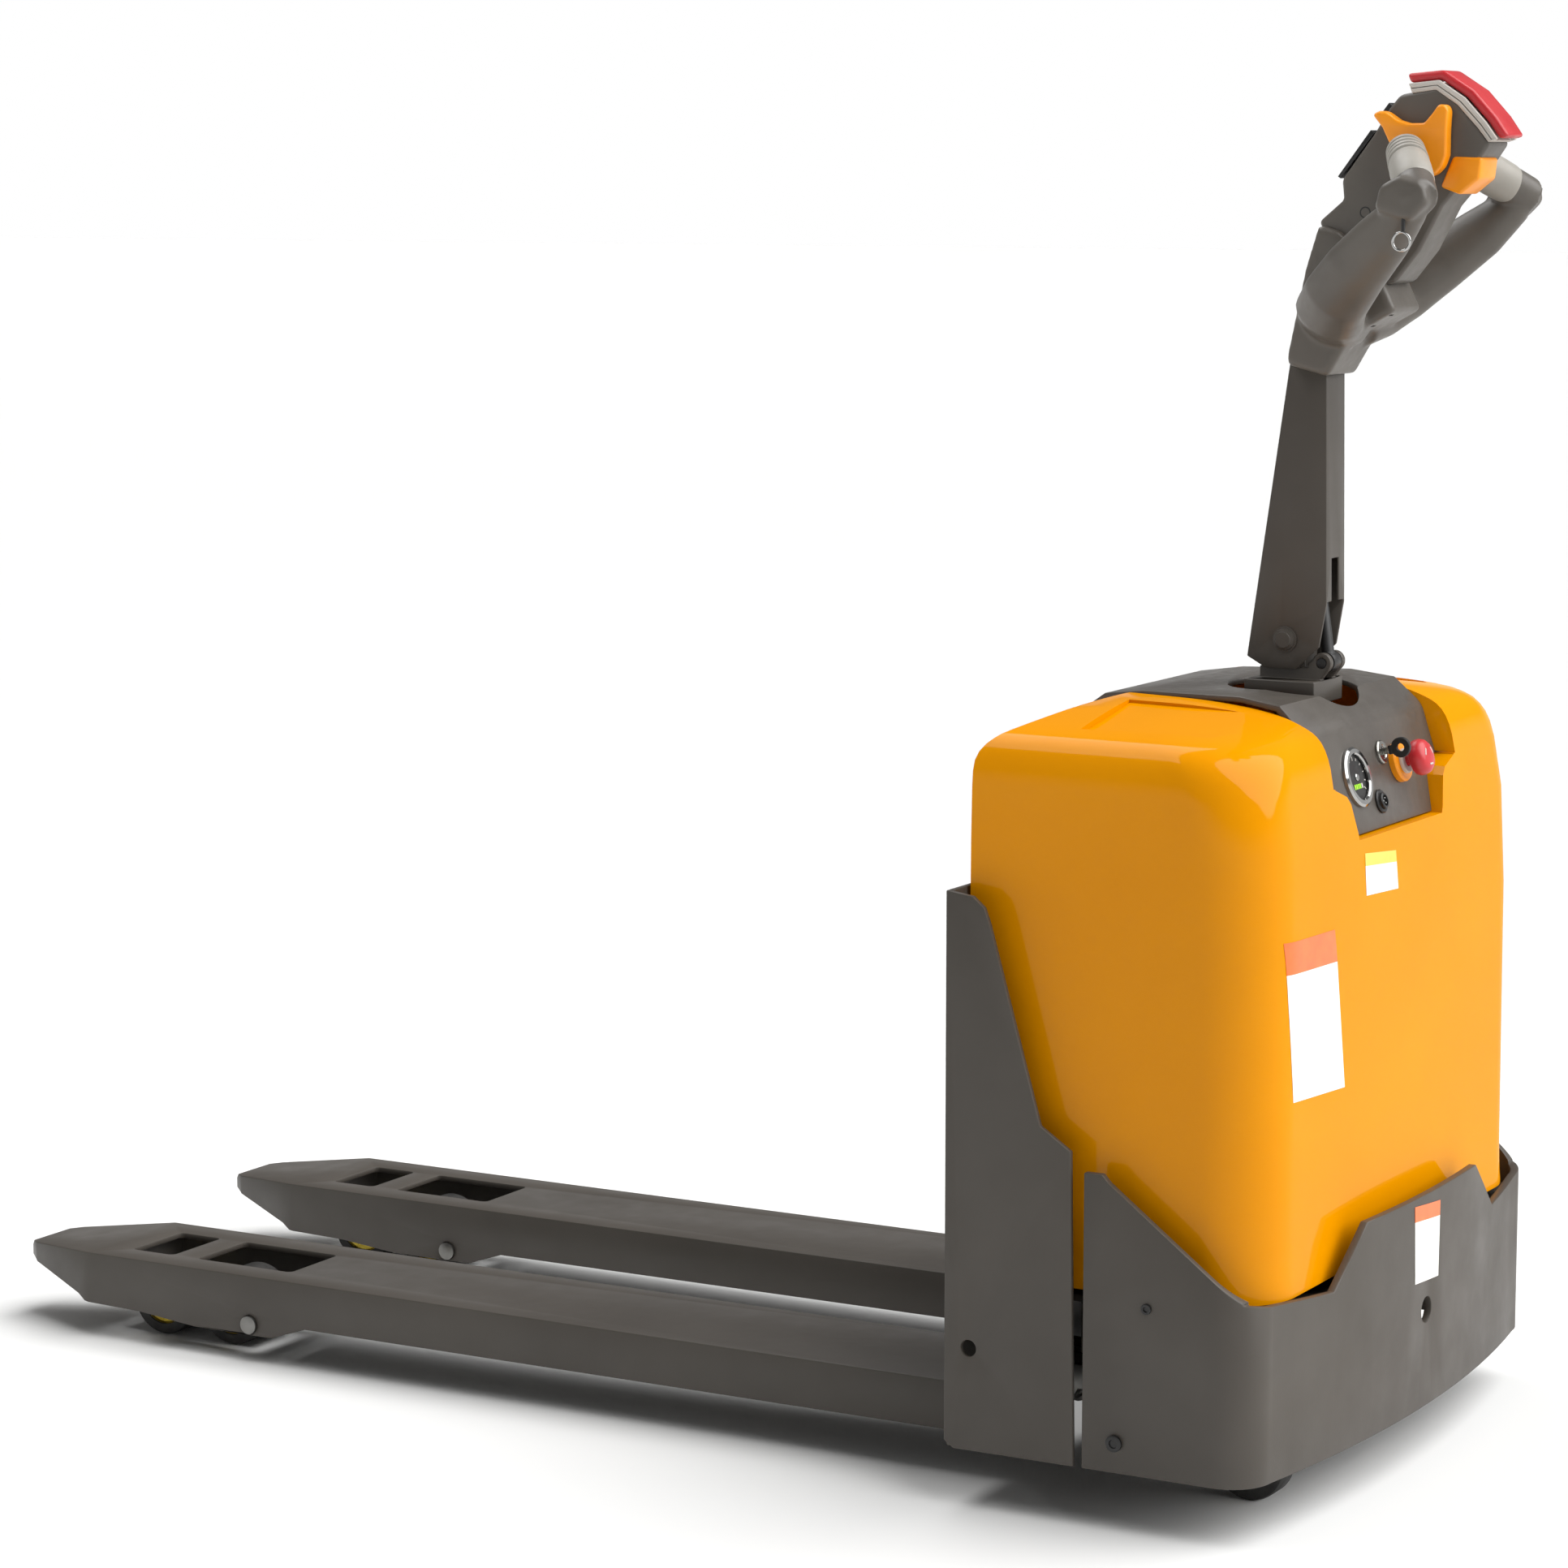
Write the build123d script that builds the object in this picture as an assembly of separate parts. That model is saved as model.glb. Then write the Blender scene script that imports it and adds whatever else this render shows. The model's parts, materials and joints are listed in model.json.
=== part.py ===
from build123d import *
import os
from math import atan2, cos, degrees, radians, sin, sqrt

# Walk-behind electric pallet truck, in millimetres.  X runs from the fork tips (-X) to the
# operator's side (+X), Y across the truck and Z up from the floor.  While it is modelled, x = 0
# is the fork heel plane; save() then moves everything to the middle of the overall length.

# ---- driving dimensions ----
fork_length = 1220.0          # fork heel to fork tip
fork_width = 160.0
fork_centres = 380.0          # between the two fork centre lines
fork_top = 95.0               # top of the forks as they stand here
fork_depth = 50.0
fork_plate = 6.0
truck_width = 720.0           # over the steel chassis
truck_rear = 348.0            # heel plane to the back of the bumper skirt
skirt_bow = 27.0              # how far the rear skirt bows out in plan
skirt_floor_gap = 57.0
skirt_plate = 8.0
hood_top = 764.0
hood_bottom = 222.0
hood_front = 10.0
hood_wall = 4.0
panel_wall = 6.0
steer_x = 196.0               # steering axis
drive_wheel_r = 105.0
drive_wheel_width = 70.0
castor_wheel_r = 37.0
castor_wheel_width = 32.0
castor_trail = 25.0
load_roller_r = 40.0
load_roller_width = 60.0
roller_spacing = 91.3         # between the two rollers of one bogie
load_pin_from_tip = 336.0     # fork tip to the load arm's pin
load_arm_length = 107.3
crank_radius = 30.0           # upper lug of the load arm, and lower arm of the crank
lug_lean = 28.7               # how far both lean back, in degrees, so that they swing evenly
tiller_pivot_z = 812.0
tiller_width = 46.0
grip_r = 20.0

# ---- clearances ----
running = 0.05                # shaft in its bore, on radius
side_gap = 2.0                # between plates that pass each other
seam = 1.0                    # between covers that meet
slide_gap = 1.0               # carriage blocks in their rails

head_x = steer_x + 130.0      # axis of the throttle and grips
head_z = tiller_pivot_z + 472.0
belly_height = 16.0           # red button, above the line over the top of the pod
belly_nose = 73.0             # from the throttle axis to the rear end of that line
overall_reach = head_x + belly_nose + belly_height
origin_shift = (fork_length - overall_reach) / 2
hood_rear = truck_rear - 31.0
fork_y = fork_centres / 2
half_w = truck_width / 2
hood_half_width = half_w - 30


def save(name, shape):
    shape = Pos(origin_shift, 0, 0) * shape
    export_step(shape, f"parts/{name}.step")


# ---- small shape helpers ----
def block(x0, x1, y0, y1, z0, z1):
    return Pos((x0 + x1) / 2, (y0 + y1) / 2, (z0 + z1) / 2) * Box(x1 - x0, y1 - y0, z1 - z0)


def rod_y(x, z, r, y0, y1):
    return Pos(x, (y0 + y1) / 2, z) * Rot(90, 0, 0) * Cylinder(r, y1 - y0)


def rod_z(x, y, r, z0, z1):
    return Pos(x, y, (z0 + z1) / 2) * Cylinder(r, z1 - z0)


def rod_x(y, z, r, x0, x1):
    return Pos((x0 + x1) / 2, y, z) * Rot(0, 90, 0) * Cylinder(r, x1 - x0)


def side_plate(points, y0, y1):
    """A flat outline in X and Z, extruded across the truck from y0 to y1."""
    face = make_face(Polyline(*[(x, 0, z) for x, z in points], close=True))
    return extrude(face, amount=y1 - y0, dir=(0, 1, 0)).moved(Location((0, y0, 0)))


def plan_plate(points, z0, z1):
    face = make_face(Polyline(*[(x, y, z0) for x, y in points], close=True))
    return extrude(face, amount=z1 - z0, dir=(0, 0, 1))


def cross_plate(points, x0, x1):
    face = make_face(Polyline(*[(x0, y, z) for y, z in points], close=True))
    return extrude(face, amount=x1 - x0, dir=(1, 0, 0))


def group(shapes):
    return Compound(children=list(shapes))


def bar_between(a, b, r):
    """A round bar from point a to point b."""
    axis = Vector(*b) - Vector(*a)
    place = Plane(origin=a, z_dir=axis.normalized())
    return extrude(place * Circle(r), amount=axis.length)


# ---- chassis ----
side_x = 146.0                # front edge of the skirt's sides, behind the carriage wings
wing_gap = 9.0                # open slot between carriage wing and skirt
corner_r = 42.0
skirt_side_top = 341.0
skirt_side_low = 233.0
skirt_slope_inset = 16.0      # the side's slope ends this far ahead of the skirt's corner
skirt_rear_low = 217.0
skirt_rear_high = 272.0
skirt_corner_top = 226.0
notch_head, notch_foot = 143.0, 208.0   # half widths of the raised middle of the back
deck_z = 200.0
deck_plate = 8.0
tunnel_half = 132.0           # drive wheel tunnel, inside the chassis
bridge_z = 2 * drive_wheel_r + 36     # plate that carries the drive unit
bulkhead_x = 62.0
bulkhead_top = 626.0
bulkhead_half = half_w - 60
slew_r = 82.0
tow_hole_z = 155.0
tow_hole_r = 13.0
castor_x = 224.0
castor_y = 190.0
castor_post_z = 142.0         # lower end of the posts that the castors swivel under
castor_stem_r = 10.0
track_gap = 3.5               # above the crank's rollers
track_plate = 12.0
skirt_corner_x = truck_rear - skirt_bow
shelf_z = 520.0
shelf_plate = 5.0


# ---- lift linkage layout ----
shaft_x = 38.0
shaft_r = 10.0
crank_roller_r = 16.0
crank_pin_r = 7.0
lug_pin_r = 7.0
pad_gap = 0.3                 # between the crank's pin and the rod's pad
pin_z = 41.6                  # load arm pin above the floor
shaft_z = pin_z + 2 * crank_radius
track_x = bulkhead_x + 6
track_half = 11.0             # the track is a bar that stands between the two crank plates
track_z = shaft_z + crank_roller_r + track_gap
lug_x = crank_radius * sin(radians(lug_lean))
lug_rise = crank_radius * cos(radians(lug_lean))
rod_z_level = pin_z + lug_rise                       # push rod's axis as the truck stands


def skirt_plan(inset):
    """Plan outline of the bumper skirt: straight sides, rounded corners, bowed back."""
    x_corner = skirt_corner_x
    y = half_w - inset
    line = [
        Line((side_x - 1, -y), (x_corner - corner_r, -y)),
        RadiusArc((x_corner - corner_r, -y), (x_corner - inset, -y + corner_r - inset / 2),
                  -(corner_r - inset / 2)),
        ThreePointArc((x_corner - inset, -y + corner_r - inset / 2), (truck_rear - inset, 0),
                      (x_corner - inset, y - corner_r + inset / 2)),
        RadiusArc((x_corner - inset, y - corner_r + inset / 2), (x_corner - corner_r, y),
                  -(corner_r - inset / 2)),
        Line((x_corner - corner_r, y), (side_x - 1, y)),
        Line((side_x - 1, y), (side_x - 1, -y)),
    ]
    return make_face(line)


def bumper_skirt():
    height = skirt_side_top - skirt_floor_gap
    outer = extrude(skirt_plan(0), amount=height, dir=(0, 0, 1))
    inner = extrude(skirt_plan(skirt_plate), amount=height + 2, dir=(0, 0, 1))
    ring = Pos(0, 0, skirt_floor_gap) * outer - Pos(0, 0, skirt_floor_gap - 1) * inner
    ring -= block(0, side_x, -half_w, half_w, 0, skirt_side_top + 1)
    top = skirt_side_top + 5
    slope_end = skirt_corner_x - skirt_slope_inset
    side_cut = side_plate([(side_x + 14, top), (side_x + 26, skirt_side_top - 8),
                           (slope_end, skirt_side_low), (slope_end, top)],
                          -half_w - 5, half_w + 5)
    rear_cut = cross_plate([(-half_w - 5, top), (-half_w - 5, skirt_corner_top + 8),
                            (40 - half_w, skirt_corner_top), (-notch_foot, skirt_rear_low),
                            (-notch_head, skirt_rear_high), (notch_head, skirt_rear_high),
                            (notch_foot, skirt_rear_low), (half_w - 40, skirt_corner_top),
                            (half_w + 5, skirt_corner_top + 8), (half_w + 5, top)],
                           slope_end, truck_rear + 20)
    skirt = ring - side_cut - rear_cut
    hole = rod_x(0, tow_hole_z, tow_hole_r, truck_rear - 30, truck_rear + 10)
    return skirt - hole


def chassis_frame():
    frame = bumper_skirt()
    deck = Pos(0, 0, deck_z) * extrude(skirt_plan(skirt_plate), amount=deck_plate, dir=(0, 0, 1))
    deck += block(bulkhead_x, side_x, -bulkhead_half, bulkhead_half, deck_z, deck_z + deck_plate)
    deck -= block(0, truck_rear, -tunnel_half, tunnel_half, deck_z - 1, deck_z + 20)
    frame += deck
    tunnel_rear = hood_rear - hood_wall - 3
    for s in (-1, 1):
        y = s * (tunnel_half + deck_plate / 2)
        frame += block(bulkhead_x, tunnel_rear, y - deck_plate / 2, y + deck_plate / 2,
                       deck_z - 60, bridge_z + deck_plate)
        frame += block(track_x, shaft_x + load_arm_length + 10, s * fork_y - track_half,
                       s * fork_y + track_half, track_z, track_z + track_plate)
        frame += block(track_x, track_x + 14, s * fork_y - track_half,
                       s * fork_y + track_half, track_z, deck_z + 2)
        frame += rod_z(castor_x, s * castor_y, 32, castor_post_z, deck_z + 1)
    bridge = block(bulkhead_x, tunnel_rear, -tunnel_half - 2, tunnel_half + 2,
                   bridge_z, bridge_z + deck_plate)
    frame += bridge
    frame += block(bulkhead_x, bulkhead_x + 8, -bulkhead_half, bulkhead_half,
                   deck_z, bulkhead_top)
    for s in (-1, 1):
        y0, y1 = sorted((s * 110, s * bulkhead_half))
        frame += block(bulkhead_x, bulkhead_x + 130, y0, y1, shelf_z, shelf_z + shelf_plate)
    frame -= rod_z(steer_x, 0, slew_r + running, bridge_z - 5, bridge_z + 20)
    for s in (-1, 1):
        frame -= rod_z(castor_x, s * castor_y, castor_stem_r + running, castor_post_z - 5,
                       castor_post_z + 46)
    return frame


carriage_top = 596.0
lower_travel = 10.0           # how far the carriage goes down from where it stands
lift_travel = 95.0            # and up
block_zs = (260.0, 420.0)     # lower edges of the carriage's sliding blocks
block_height = 60.0
rail_y = 150.0
rail_z0 = block_zs[0] - lower_travel - 24
rail_z1 = carriage_top - 18
rail_half = 24.0
rail_web = 7.0
cylinder_x = 38.0
cylinder_low = deck_z + 24
cylinder_top = cylinder_low + 136
lift_bracket_z = cylinder_top + 90
piston_r = 9.0


def guide_rail(s):
    """U channel, open to the front, that guides one side of the fork carriage."""
    x0 = hood_front + 4
    y = s * rail_y
    inner = rail_half - rail_web
    rail = block(x0, bulkhead_x, y - rail_half, y + rail_half, rail_z0, rail_z1)
    return rail - block(x0 - 1, bulkhead_x - 8, y - inner, y + inner, rail_z0 - 1, rail_z1 + 1)


def lift_cylinder():
    body = rod_z(cylinder_x, 0, 20, cylinder_low, cylinder_top)
    body += block(cylinder_x - 16, bulkhead_x, -30, 30, cylinder_low - 6, cylinder_low + 6)
    body += block(cylinder_x, bulkhead_x, -12, 12, cylinder_top - 40, cylinder_top - 24)
    return body - rod_z(cylinder_x, 0, piston_r + running, cylinder_low + 6, cylinder_top + 1)


def lift_piston_rod():
    return rod_z(cylinder_x, 0, piston_r, cylinder_low + lower_travel + 8, lift_bracket_z)


# ---- power unit contents ----
battery_top = shelf_z - 50


def battery(s):
    y0, y1 = tunnel_half + 18, bulkhead_half - 2
    x0, x1 = bulkhead_x + 20, hood_rear - 45
    body = block(x0, x1, y0, y1, deck_z + deck_plate, battery_top)
    body += block(x0 + 8, x1 - 8, y0 + 8, y1 - 8, battery_top, battery_top + 12)
    for y in (y0 + 40, y1 - 40):
        body += rod_z(x0 + 39, y, 8, battery_top + 10, battery_top + 26)
    return body if s > 0 else body.mirror(Plane.XZ)


def motor_controller():
    z = shelf_z + shelf_plate
    x0, y0 = bulkhead_x + 12, 10 - bulkhead_half
    base = block(x0, x0 + 110, y0, -130, z, z + 12)
    fins = [block(x0 + 4 + 15 * i, x0 + 10 + 15 * i, y0 + 4, -134, z + 11, z + 47)
            for i in range(7)]
    return base + fins


def hydraulic_unit():
    z = shelf_z + shelf_plate
    tank_y1 = bulkhead_half - 4
    tank_y0 = tank_y1 - 100
    tank = block(bulkhead_x + 14, bulkhead_x + 116, tank_y0, tank_y1, z, z + 91)
    pump = block(bulkhead_x + 30, bulkhead_x + 100, tank_y0 - 28, tank_y0 + 2, z, z + 75)
    motor = rod_y(bulkhead_x + 65, z + 40, 38, tank_y0 - 84, tank_y0 - 26)
    return tank + pump + motor


# ---- hood and control panel ----
hood_corner_r = 78.0
mouth_half = bulkhead_half - 50        # opening in the hood's front, behind the fork carriage


def crown_section(inset):
    """Section across the hood: upright sides that roll into a crowned top."""
    w, top = hood_half_width - inset, hood_top - inset
    half = [(w, hood_bottom - inset - 1), (w - 5, hood_top - 92), (w - 18, top - 56),
            (w - 46, top - 34), (w - 105, top - 17), (w - 170, top - 6), (w - 225, top)]
    mirrored = [(-y, z) for y, z in half[::-1]]
    return cross_plate(half + mirrored, hood_front - 5, truck_rear)


def hood_body(inset):
    """The outer form of the hood, or the same form drawn in by the inset."""
    i = inset
    x0, x1, top = hood_front + i, hood_rear - i, hood_top - i
    side = side_plate([(x0, hood_bottom - i), (x0, hood_top - 48), (x0 + 16, top - 23),
                       (x0 + 50, top - 4), (x1 - 117, top), (x1 - 55, top - 8),
                       (x1 - 29, top - 26), (x1 - 14, hood_top - 74), (x1 - 6, hood_top - 164),
                       (x1, hood_bottom + 38), (x1, hood_bottom - i)],
                      -hood_half_width - 5, hood_half_width + 5)
    w = hood_half_width - i
    r = hood_corner_r - i
    x1 = hood_rear
    plan = Pos((hood_front + x1) / 2, 0, hood_bottom - i) * extrude(
        RectangleRounded(x1 - hood_front - 2 * i, 2 * w, 12), amount=hood_top)
    corner = Pos(x1 - i - 170, 0, hood_bottom - i) * extrude(
        RectangleRounded(340, 2 * w, r), amount=hood_top)
    return side & crown_section(i) & plan & corner


panel_front_half = 112.0
panel_rear_half = 150.0
panel_low_half = 118.0
panel_step_z = hood_top - 76
panel_bottom_z = hood_top - 130
panel_front_x = hood_front + 16
panel_flare = 14.0            # the panel widens by this much on each side behind the crease
face_top_x, face_top_z = hood_rear - 45, hood_top - 28
face_bottom_x, face_bottom_z = hood_rear - 9, panel_bottom_z - 20
slot_rx = 62.0
slot_ry = 74.0
panel_proud = 3.0             # the panel stands this far above the hood's crown


def panel_region(gap):
    g = gap
    upper = plan_plate([(panel_front_x - g, -panel_front_half - g),
                        (face_top_x, -panel_rear_half - g),
                        (truck_rear, -panel_rear_half - panel_flare - g),
                        (truck_rear, panel_rear_half + panel_flare + g),
                        (face_top_x, panel_rear_half + g),
                        (panel_front_x - g, panel_front_half + g)],
                       panel_step_z - g, hood_top + 20)
    lower = block(face_top_x - 42, truck_rear, -panel_low_half - g, panel_low_half + g,
                  panel_bottom_z - g, panel_step_z + 1)
    return upper + lower


def panel_profile(inset):
    """Side profile under the panel's skin: near flat on top, steep control face at the back."""
    i = inset
    low = face_bottom_z - 14
    side = side_plate([(panel_front_x - 10, low), (panel_front_x - 10, hood_top - 19 - i),
                       (panel_front_x + 34, hood_top + 2 - i), (steer_x, hood_top + 3 - i),
                       (face_top_x - 14 - i * 0.4, face_top_z + 16 - i),
                       (face_top_x - i, face_top_z - i * 0.4),
                       (face_bottom_x - i, face_bottom_z), (face_bottom_x - i, low)],
                      -panel_rear_half - 100, panel_rear_half + 100)
    return side & crown_section(i - panel_proud)


def top_panel():
    skin = (panel_profile(0) - panel_profile(panel_wall)) & panel_region(0)
    slot = Pos(steer_x, 0, hood_top - 64) * extrude(Ellipse(slot_rx, slot_ry), amount=100)
    panel = skin - slot
    for y, z, r in ((gauge_y, gauge_z, gauge_r), (key_y, key_z, key_r),
                    (estop_y, estop_z, estop_r), (socket_y, socket_z, socket_r)):
        panel -= face_rod(y, z, r + running, -30, 30)
    return panel


def hood():
    shell = hood_body(0) - hood_body(hood_wall)
    shell -= block(0, hood_front + hood_wall + 6, -mouth_half, mouth_half, hood_bottom - 10,
                   carriage_top - lower_travel - 2)
    return shell - panel_region(seam)


# ---- fittings on the control face ----
face_drop = face_top_z - face_bottom_z
face_run = face_bottom_x - face_top_x
face_angle = degrees(atan2(face_drop, face_run))     # outward normal, from +Z towards +X
gauge_y, gauge_z, gauge_r = -57.0, hood_top - 78, 25.0
key_y, key_z, key_r = 16.0, hood_top - 62, 9.0
socket_y, socket_z, socket_r = -14.0, hood_top - 106, 8.0
estop_y, estop_z, estop_r = 50.0, hood_top - 76, 11.0
key_stem_r = 3.5
estop_stem_r = 6.0
estop_cap_r = 18.0
estop_reach = 36.0            # how far the mushroom stands out from the face
estop_travel = 5.0


def face_x(z):
    """X of the control face at height z."""
    return face_top_x + face_run * (face_top_z - z) / face_drop


def face_rod(y, z, r, a, b):
    """A cylinder square to the control face, from a below the surface to b above it."""
    place = Pos(face_x(z), y, z) * Rot(0, face_angle, 0)
    return place * Pos(0, 0, (a + b) / 2) * Cylinder(r, b - a)


def gauge():
    body = face_rod(gauge_y, gauge_z, gauge_r, -28, 2)
    return body + face_rod(gauge_y, gauge_z, gauge_r + 5, 0.2, 5)


def key_switch():
    body = face_rod(key_y, key_z, key_r, -24, 3)
    body += face_rod(key_y, key_z, key_r + 3, 0.2, 4)
    return body - face_rod(key_y, key_z, key_stem_r + running, -6, 10)


def key():
    stem = face_rod(key_y, key_z, key_stem_r, -5, 12)
    bow = Pos(face_x(key_z), key_y, key_z) * Rot(0, face_angle, 0) * Pos(0, 0, 22) * Box(20, 5, 24)
    return stem + bow


def panel_socket():
    body = face_rod(socket_y, socket_z, socket_r, -16, 6)
    return body + face_rod(socket_y, socket_z, socket_r + 4, 0.2, 3)


def estop_base():
    body = face_rod(estop_y, estop_z, estop_r, -26, 12)
    body += face_rod(estop_y, estop_z, estop_r + 9, 0.2, 8)
    return body - face_rod(estop_y, estop_z, estop_stem_r + running, -20, 20)


def estop_button():
    stem = face_rod(estop_y, estop_z, estop_stem_r, -10, 20)
    return stem + face_rod(estop_y, estop_z, estop_cap_r, 13 + estop_travel, estop_reach)


# ---- drive unit ----
slew_z0 = bridge_z - 20
motor_top = slew_z0 + 244


def slew_ring():
    outer = rod_z(steer_x, 0, slew_r + 16, bridge_z + deck_plate, bridge_z + deck_plate + 12)
    return outer - rod_z(steer_x, 0, slew_r + running, bridge_z, bridge_z + 40)


gear_y0 = drive_wheel_width / 2 + 6
gear_y1 = gear_y0 + 46


def drive_gearbox():
    """Turntable, side gear case and stub axle that carry the drive wheel."""
    case = rod_y(steer_x, drive_wheel_r, 46, gear_y0, gear_y1)
    case += block(steer_x - 40, steer_x + 40, gear_y0, gear_y1, drive_wheel_r, slew_z0 + 1)
    case += rod_z(steer_x, 0, slew_r, slew_z0, bridge_z + deck_plate + 14)
    case += rod_y(steer_x, drive_wheel_r, 14, -drive_wheel_width / 2 - 4, gear_y0 + 1)
    return case




def drive_motor():
    body = rod_z(steer_x, 0, 62, bridge_z + deck_plate + 14, motor_top - 40)
    body += rod_z(steer_x, 0, 52, motor_top - 41, motor_top)
    return body


column_r = 19.0
tier_z = tiller_pivot_z - 62
tier_top = tiller_pivot_z - 39
lug_half = 15.0
ear_y0, ear_y1 = 11.0, 19.0
pivot_r = 9.0
spring_x = steer_x + 37
spring_z = tiller_pivot_z - 22
spring_top_x = steer_x + 7
spring_top_z = tiller_pivot_z + 188
spring_pin_r = 5.0
spring_tube_r = 6.5
spring_rod_r = 4.0


def steering_column():
    """Column through the panel, the stepped head block, and the ears for pin and spring."""
    column = rod_z(steer_x, 0, column_r, motor_top, tier_z + 1)
    column += rod_z(steer_x, 0, 40, motor_top, motor_top + 10)
    column += block(steer_x - 37, steer_x + 37, -36, 36, tier_z, tier_top)
    column += block(steer_x - 28, steer_x + 28, -ear_y1, ear_y1, tier_top - 1, tier_top + 12)
    column += block(steer_x - 19, steer_x + 19, -lug_half, lug_half, tier_top, tiller_pivot_z)
    column += rod_y(steer_x, tiller_pivot_z, 19, -lug_half, lug_half)
    for y0 in (-ear_y1, ear_y0):
        y1 = y0 + ear_y1 - ear_y0
        column += side_plate([(steer_x + 23, tier_top), (steer_x + 36, tier_top),
                              (spring_x + 9, spring_z - 4), (spring_x, spring_z + 9),
                              (steer_x + 23, spring_z)], y0, y1)
        column += rod_y(spring_x, spring_z, 10, y0, y1)
    column -= rod_y(steer_x, tiller_pivot_z, pivot_r + running, -40, 40)
    return column - rod_y(spring_x, spring_z, spring_pin_r + running, -40, 40)


def drive_wheel_hub():
    w = drive_wheel_width / 2
    hub = rod_y(steer_x, drive_wheel_r, drive_wheel_r - 22, -w, w)
    hub -= rod_y(steer_x, drive_wheel_r, drive_wheel_r - 45, -w - 1, -w + 16)
    hub += rod_y(steer_x, drive_wheel_r, 26, -w, w)
    return hub - rod_y(steer_x, drive_wheel_r, 14 + running, -w - 1, w + 1)


def drive_wheel_tyre():
    w = drive_wheel_width / 2
    tyre = rod_y(steer_x, drive_wheel_r, drive_wheel_r, -w, w)
    tyre = chamfer(tyre.edges().filter_by(GeomType.CIRCLE), 5)
    return tyre - rod_y(steer_x, drive_wheel_r, drive_wheel_r - 22, -w - 1, w + 1)


# ---- castors ----
castor_axle_r = 6.0


def castor_fork(s):
    """Swivel plate, stem, two long cheeks and the axle of one stabiliser castor."""
    y = s * castor_y
    w = castor_wheel_width / 2 + side_gap
    cx = castor_x + castor_trail
    top = castor_post_z - seam
    z = castor_wheel_r
    fork = rod_z(castor_x, y, castor_stem_r, top - 14, castor_post_z + 40)
    fork += rod_z(castor_x, y, 30, top - 14, top)
    for t in (-1, 1):
        y0, y1 = sorted((y + t * w, y + t * (w + 5)))
        fork += side_plate([(castor_x - 22, top - 12), (castor_x + 26, top - 12),
                            (cx + 14, z + 6), (cx + 8, z - 12),
                            (cx - 8, z - 12), (cx - 14, z + 6)], y0, y1)
    fork += block(castor_x - 22, castor_x + 26, y - w - 4, y + w + 4, top - 20, top - 12)
    fork += rod_y(cx, z, castor_axle_r, y - w - 8, y + w + 8)
    return fork


def castor_wheel(s):
    y = s * castor_y
    w = castor_wheel_width / 2
    cx = castor_x + castor_trail
    wheel = rod_y(cx, castor_wheel_r, castor_wheel_r, y - w, y + w)
    wheel = chamfer(wheel.edges().filter_by(GeomType.CIRCLE), 4)
    return wheel - rod_y(cx, castor_wheel_r, castor_axle_r + running, y - w - 1, y + w + 1)


# ---- fork carriage ----
front_plate = 6.0
wing_plate = 6.0
wing_x = side_x - wing_gap
bearing_y = 236.0


def carriage_frame():
    """Pressed back plate with its sliding blocks, shaft bearings and lift bracket."""
    half = half_w - wing_plate
    plate = cross_plate([(-half, 57), (half, 57), (half, carriage_top), (-half, carriage_top)],
                        0, front_plate)
    for s in (-1, 1):
        for z in block_zs:
            plate += block(front_plate - 1, bulkhead_x - 8 - slide_gap, s * rail_y - 12,
                           s * rail_y + 12, z, z + block_height)
        for y in (s * bearing_y, s * (2 * fork_y - bearing_y)):
            plate += block(front_plate - 1, shaft_x + 18, y - 5, y + 5,
                           shaft_z - 18, shaft_z + 18)
    plate += block(front_plate - 1, cylinder_x + 14, -26, 26, lift_bracket_z, lift_bracket_z + 12)
    for y in (-24, 18):
        plate += side_plate([(front_plate - 1, lift_bracket_z + 45),
                             (front_plate - 1, lift_bracket_z + 5),
                             (cylinder_x, lift_bracket_z + 5)], y, y + 6)
    for s in (-1, 1):
        plate -= block(-1, front_plate + 1, s * fork_y - 15, s * fork_y + 15, 50, pin_z + 50)
    return plate - rod_y(shaft_x, shaft_z, shaft_r + running, -half + 20, half - 20)


def carriage_wing(s):
    """Side wing of the carriage, with the lightening hole low in its front."""
    y0, y1 = sorted((s * (half_w - wing_plate), s * half_w))
    wing = side_plate([(0, 64), (10, 57), (wing_x, 57), (wing_x - 5, 359), (wing_x - 37, 380),
                       (46, carriage_top - 30), (40, carriage_top - 14), (28, carriage_top - 4),
                       (0, carriage_top)], y0, y1)
    return wing - rod_y(26, 157, 8, y0 - 1, y1 + 1)


def slide_pads():
    """Plastic wear pads on the carriage blocks."""
    pads = []
    for s in (-1, 1):
        for z in block_zs:
            for t in (-1, 1):
                y = s * rail_y + t * 14
                pads.append(block(front_plate + 12, bulkhead_x - 12, y - 2, y + 2, z + 4, z + 56))
    return group(pads)


tip_half = 42.0
tip_taper = 118.0
tip_drop = 10.0
hole_half = 43.5
side_lobe_z = 30.0


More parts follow.
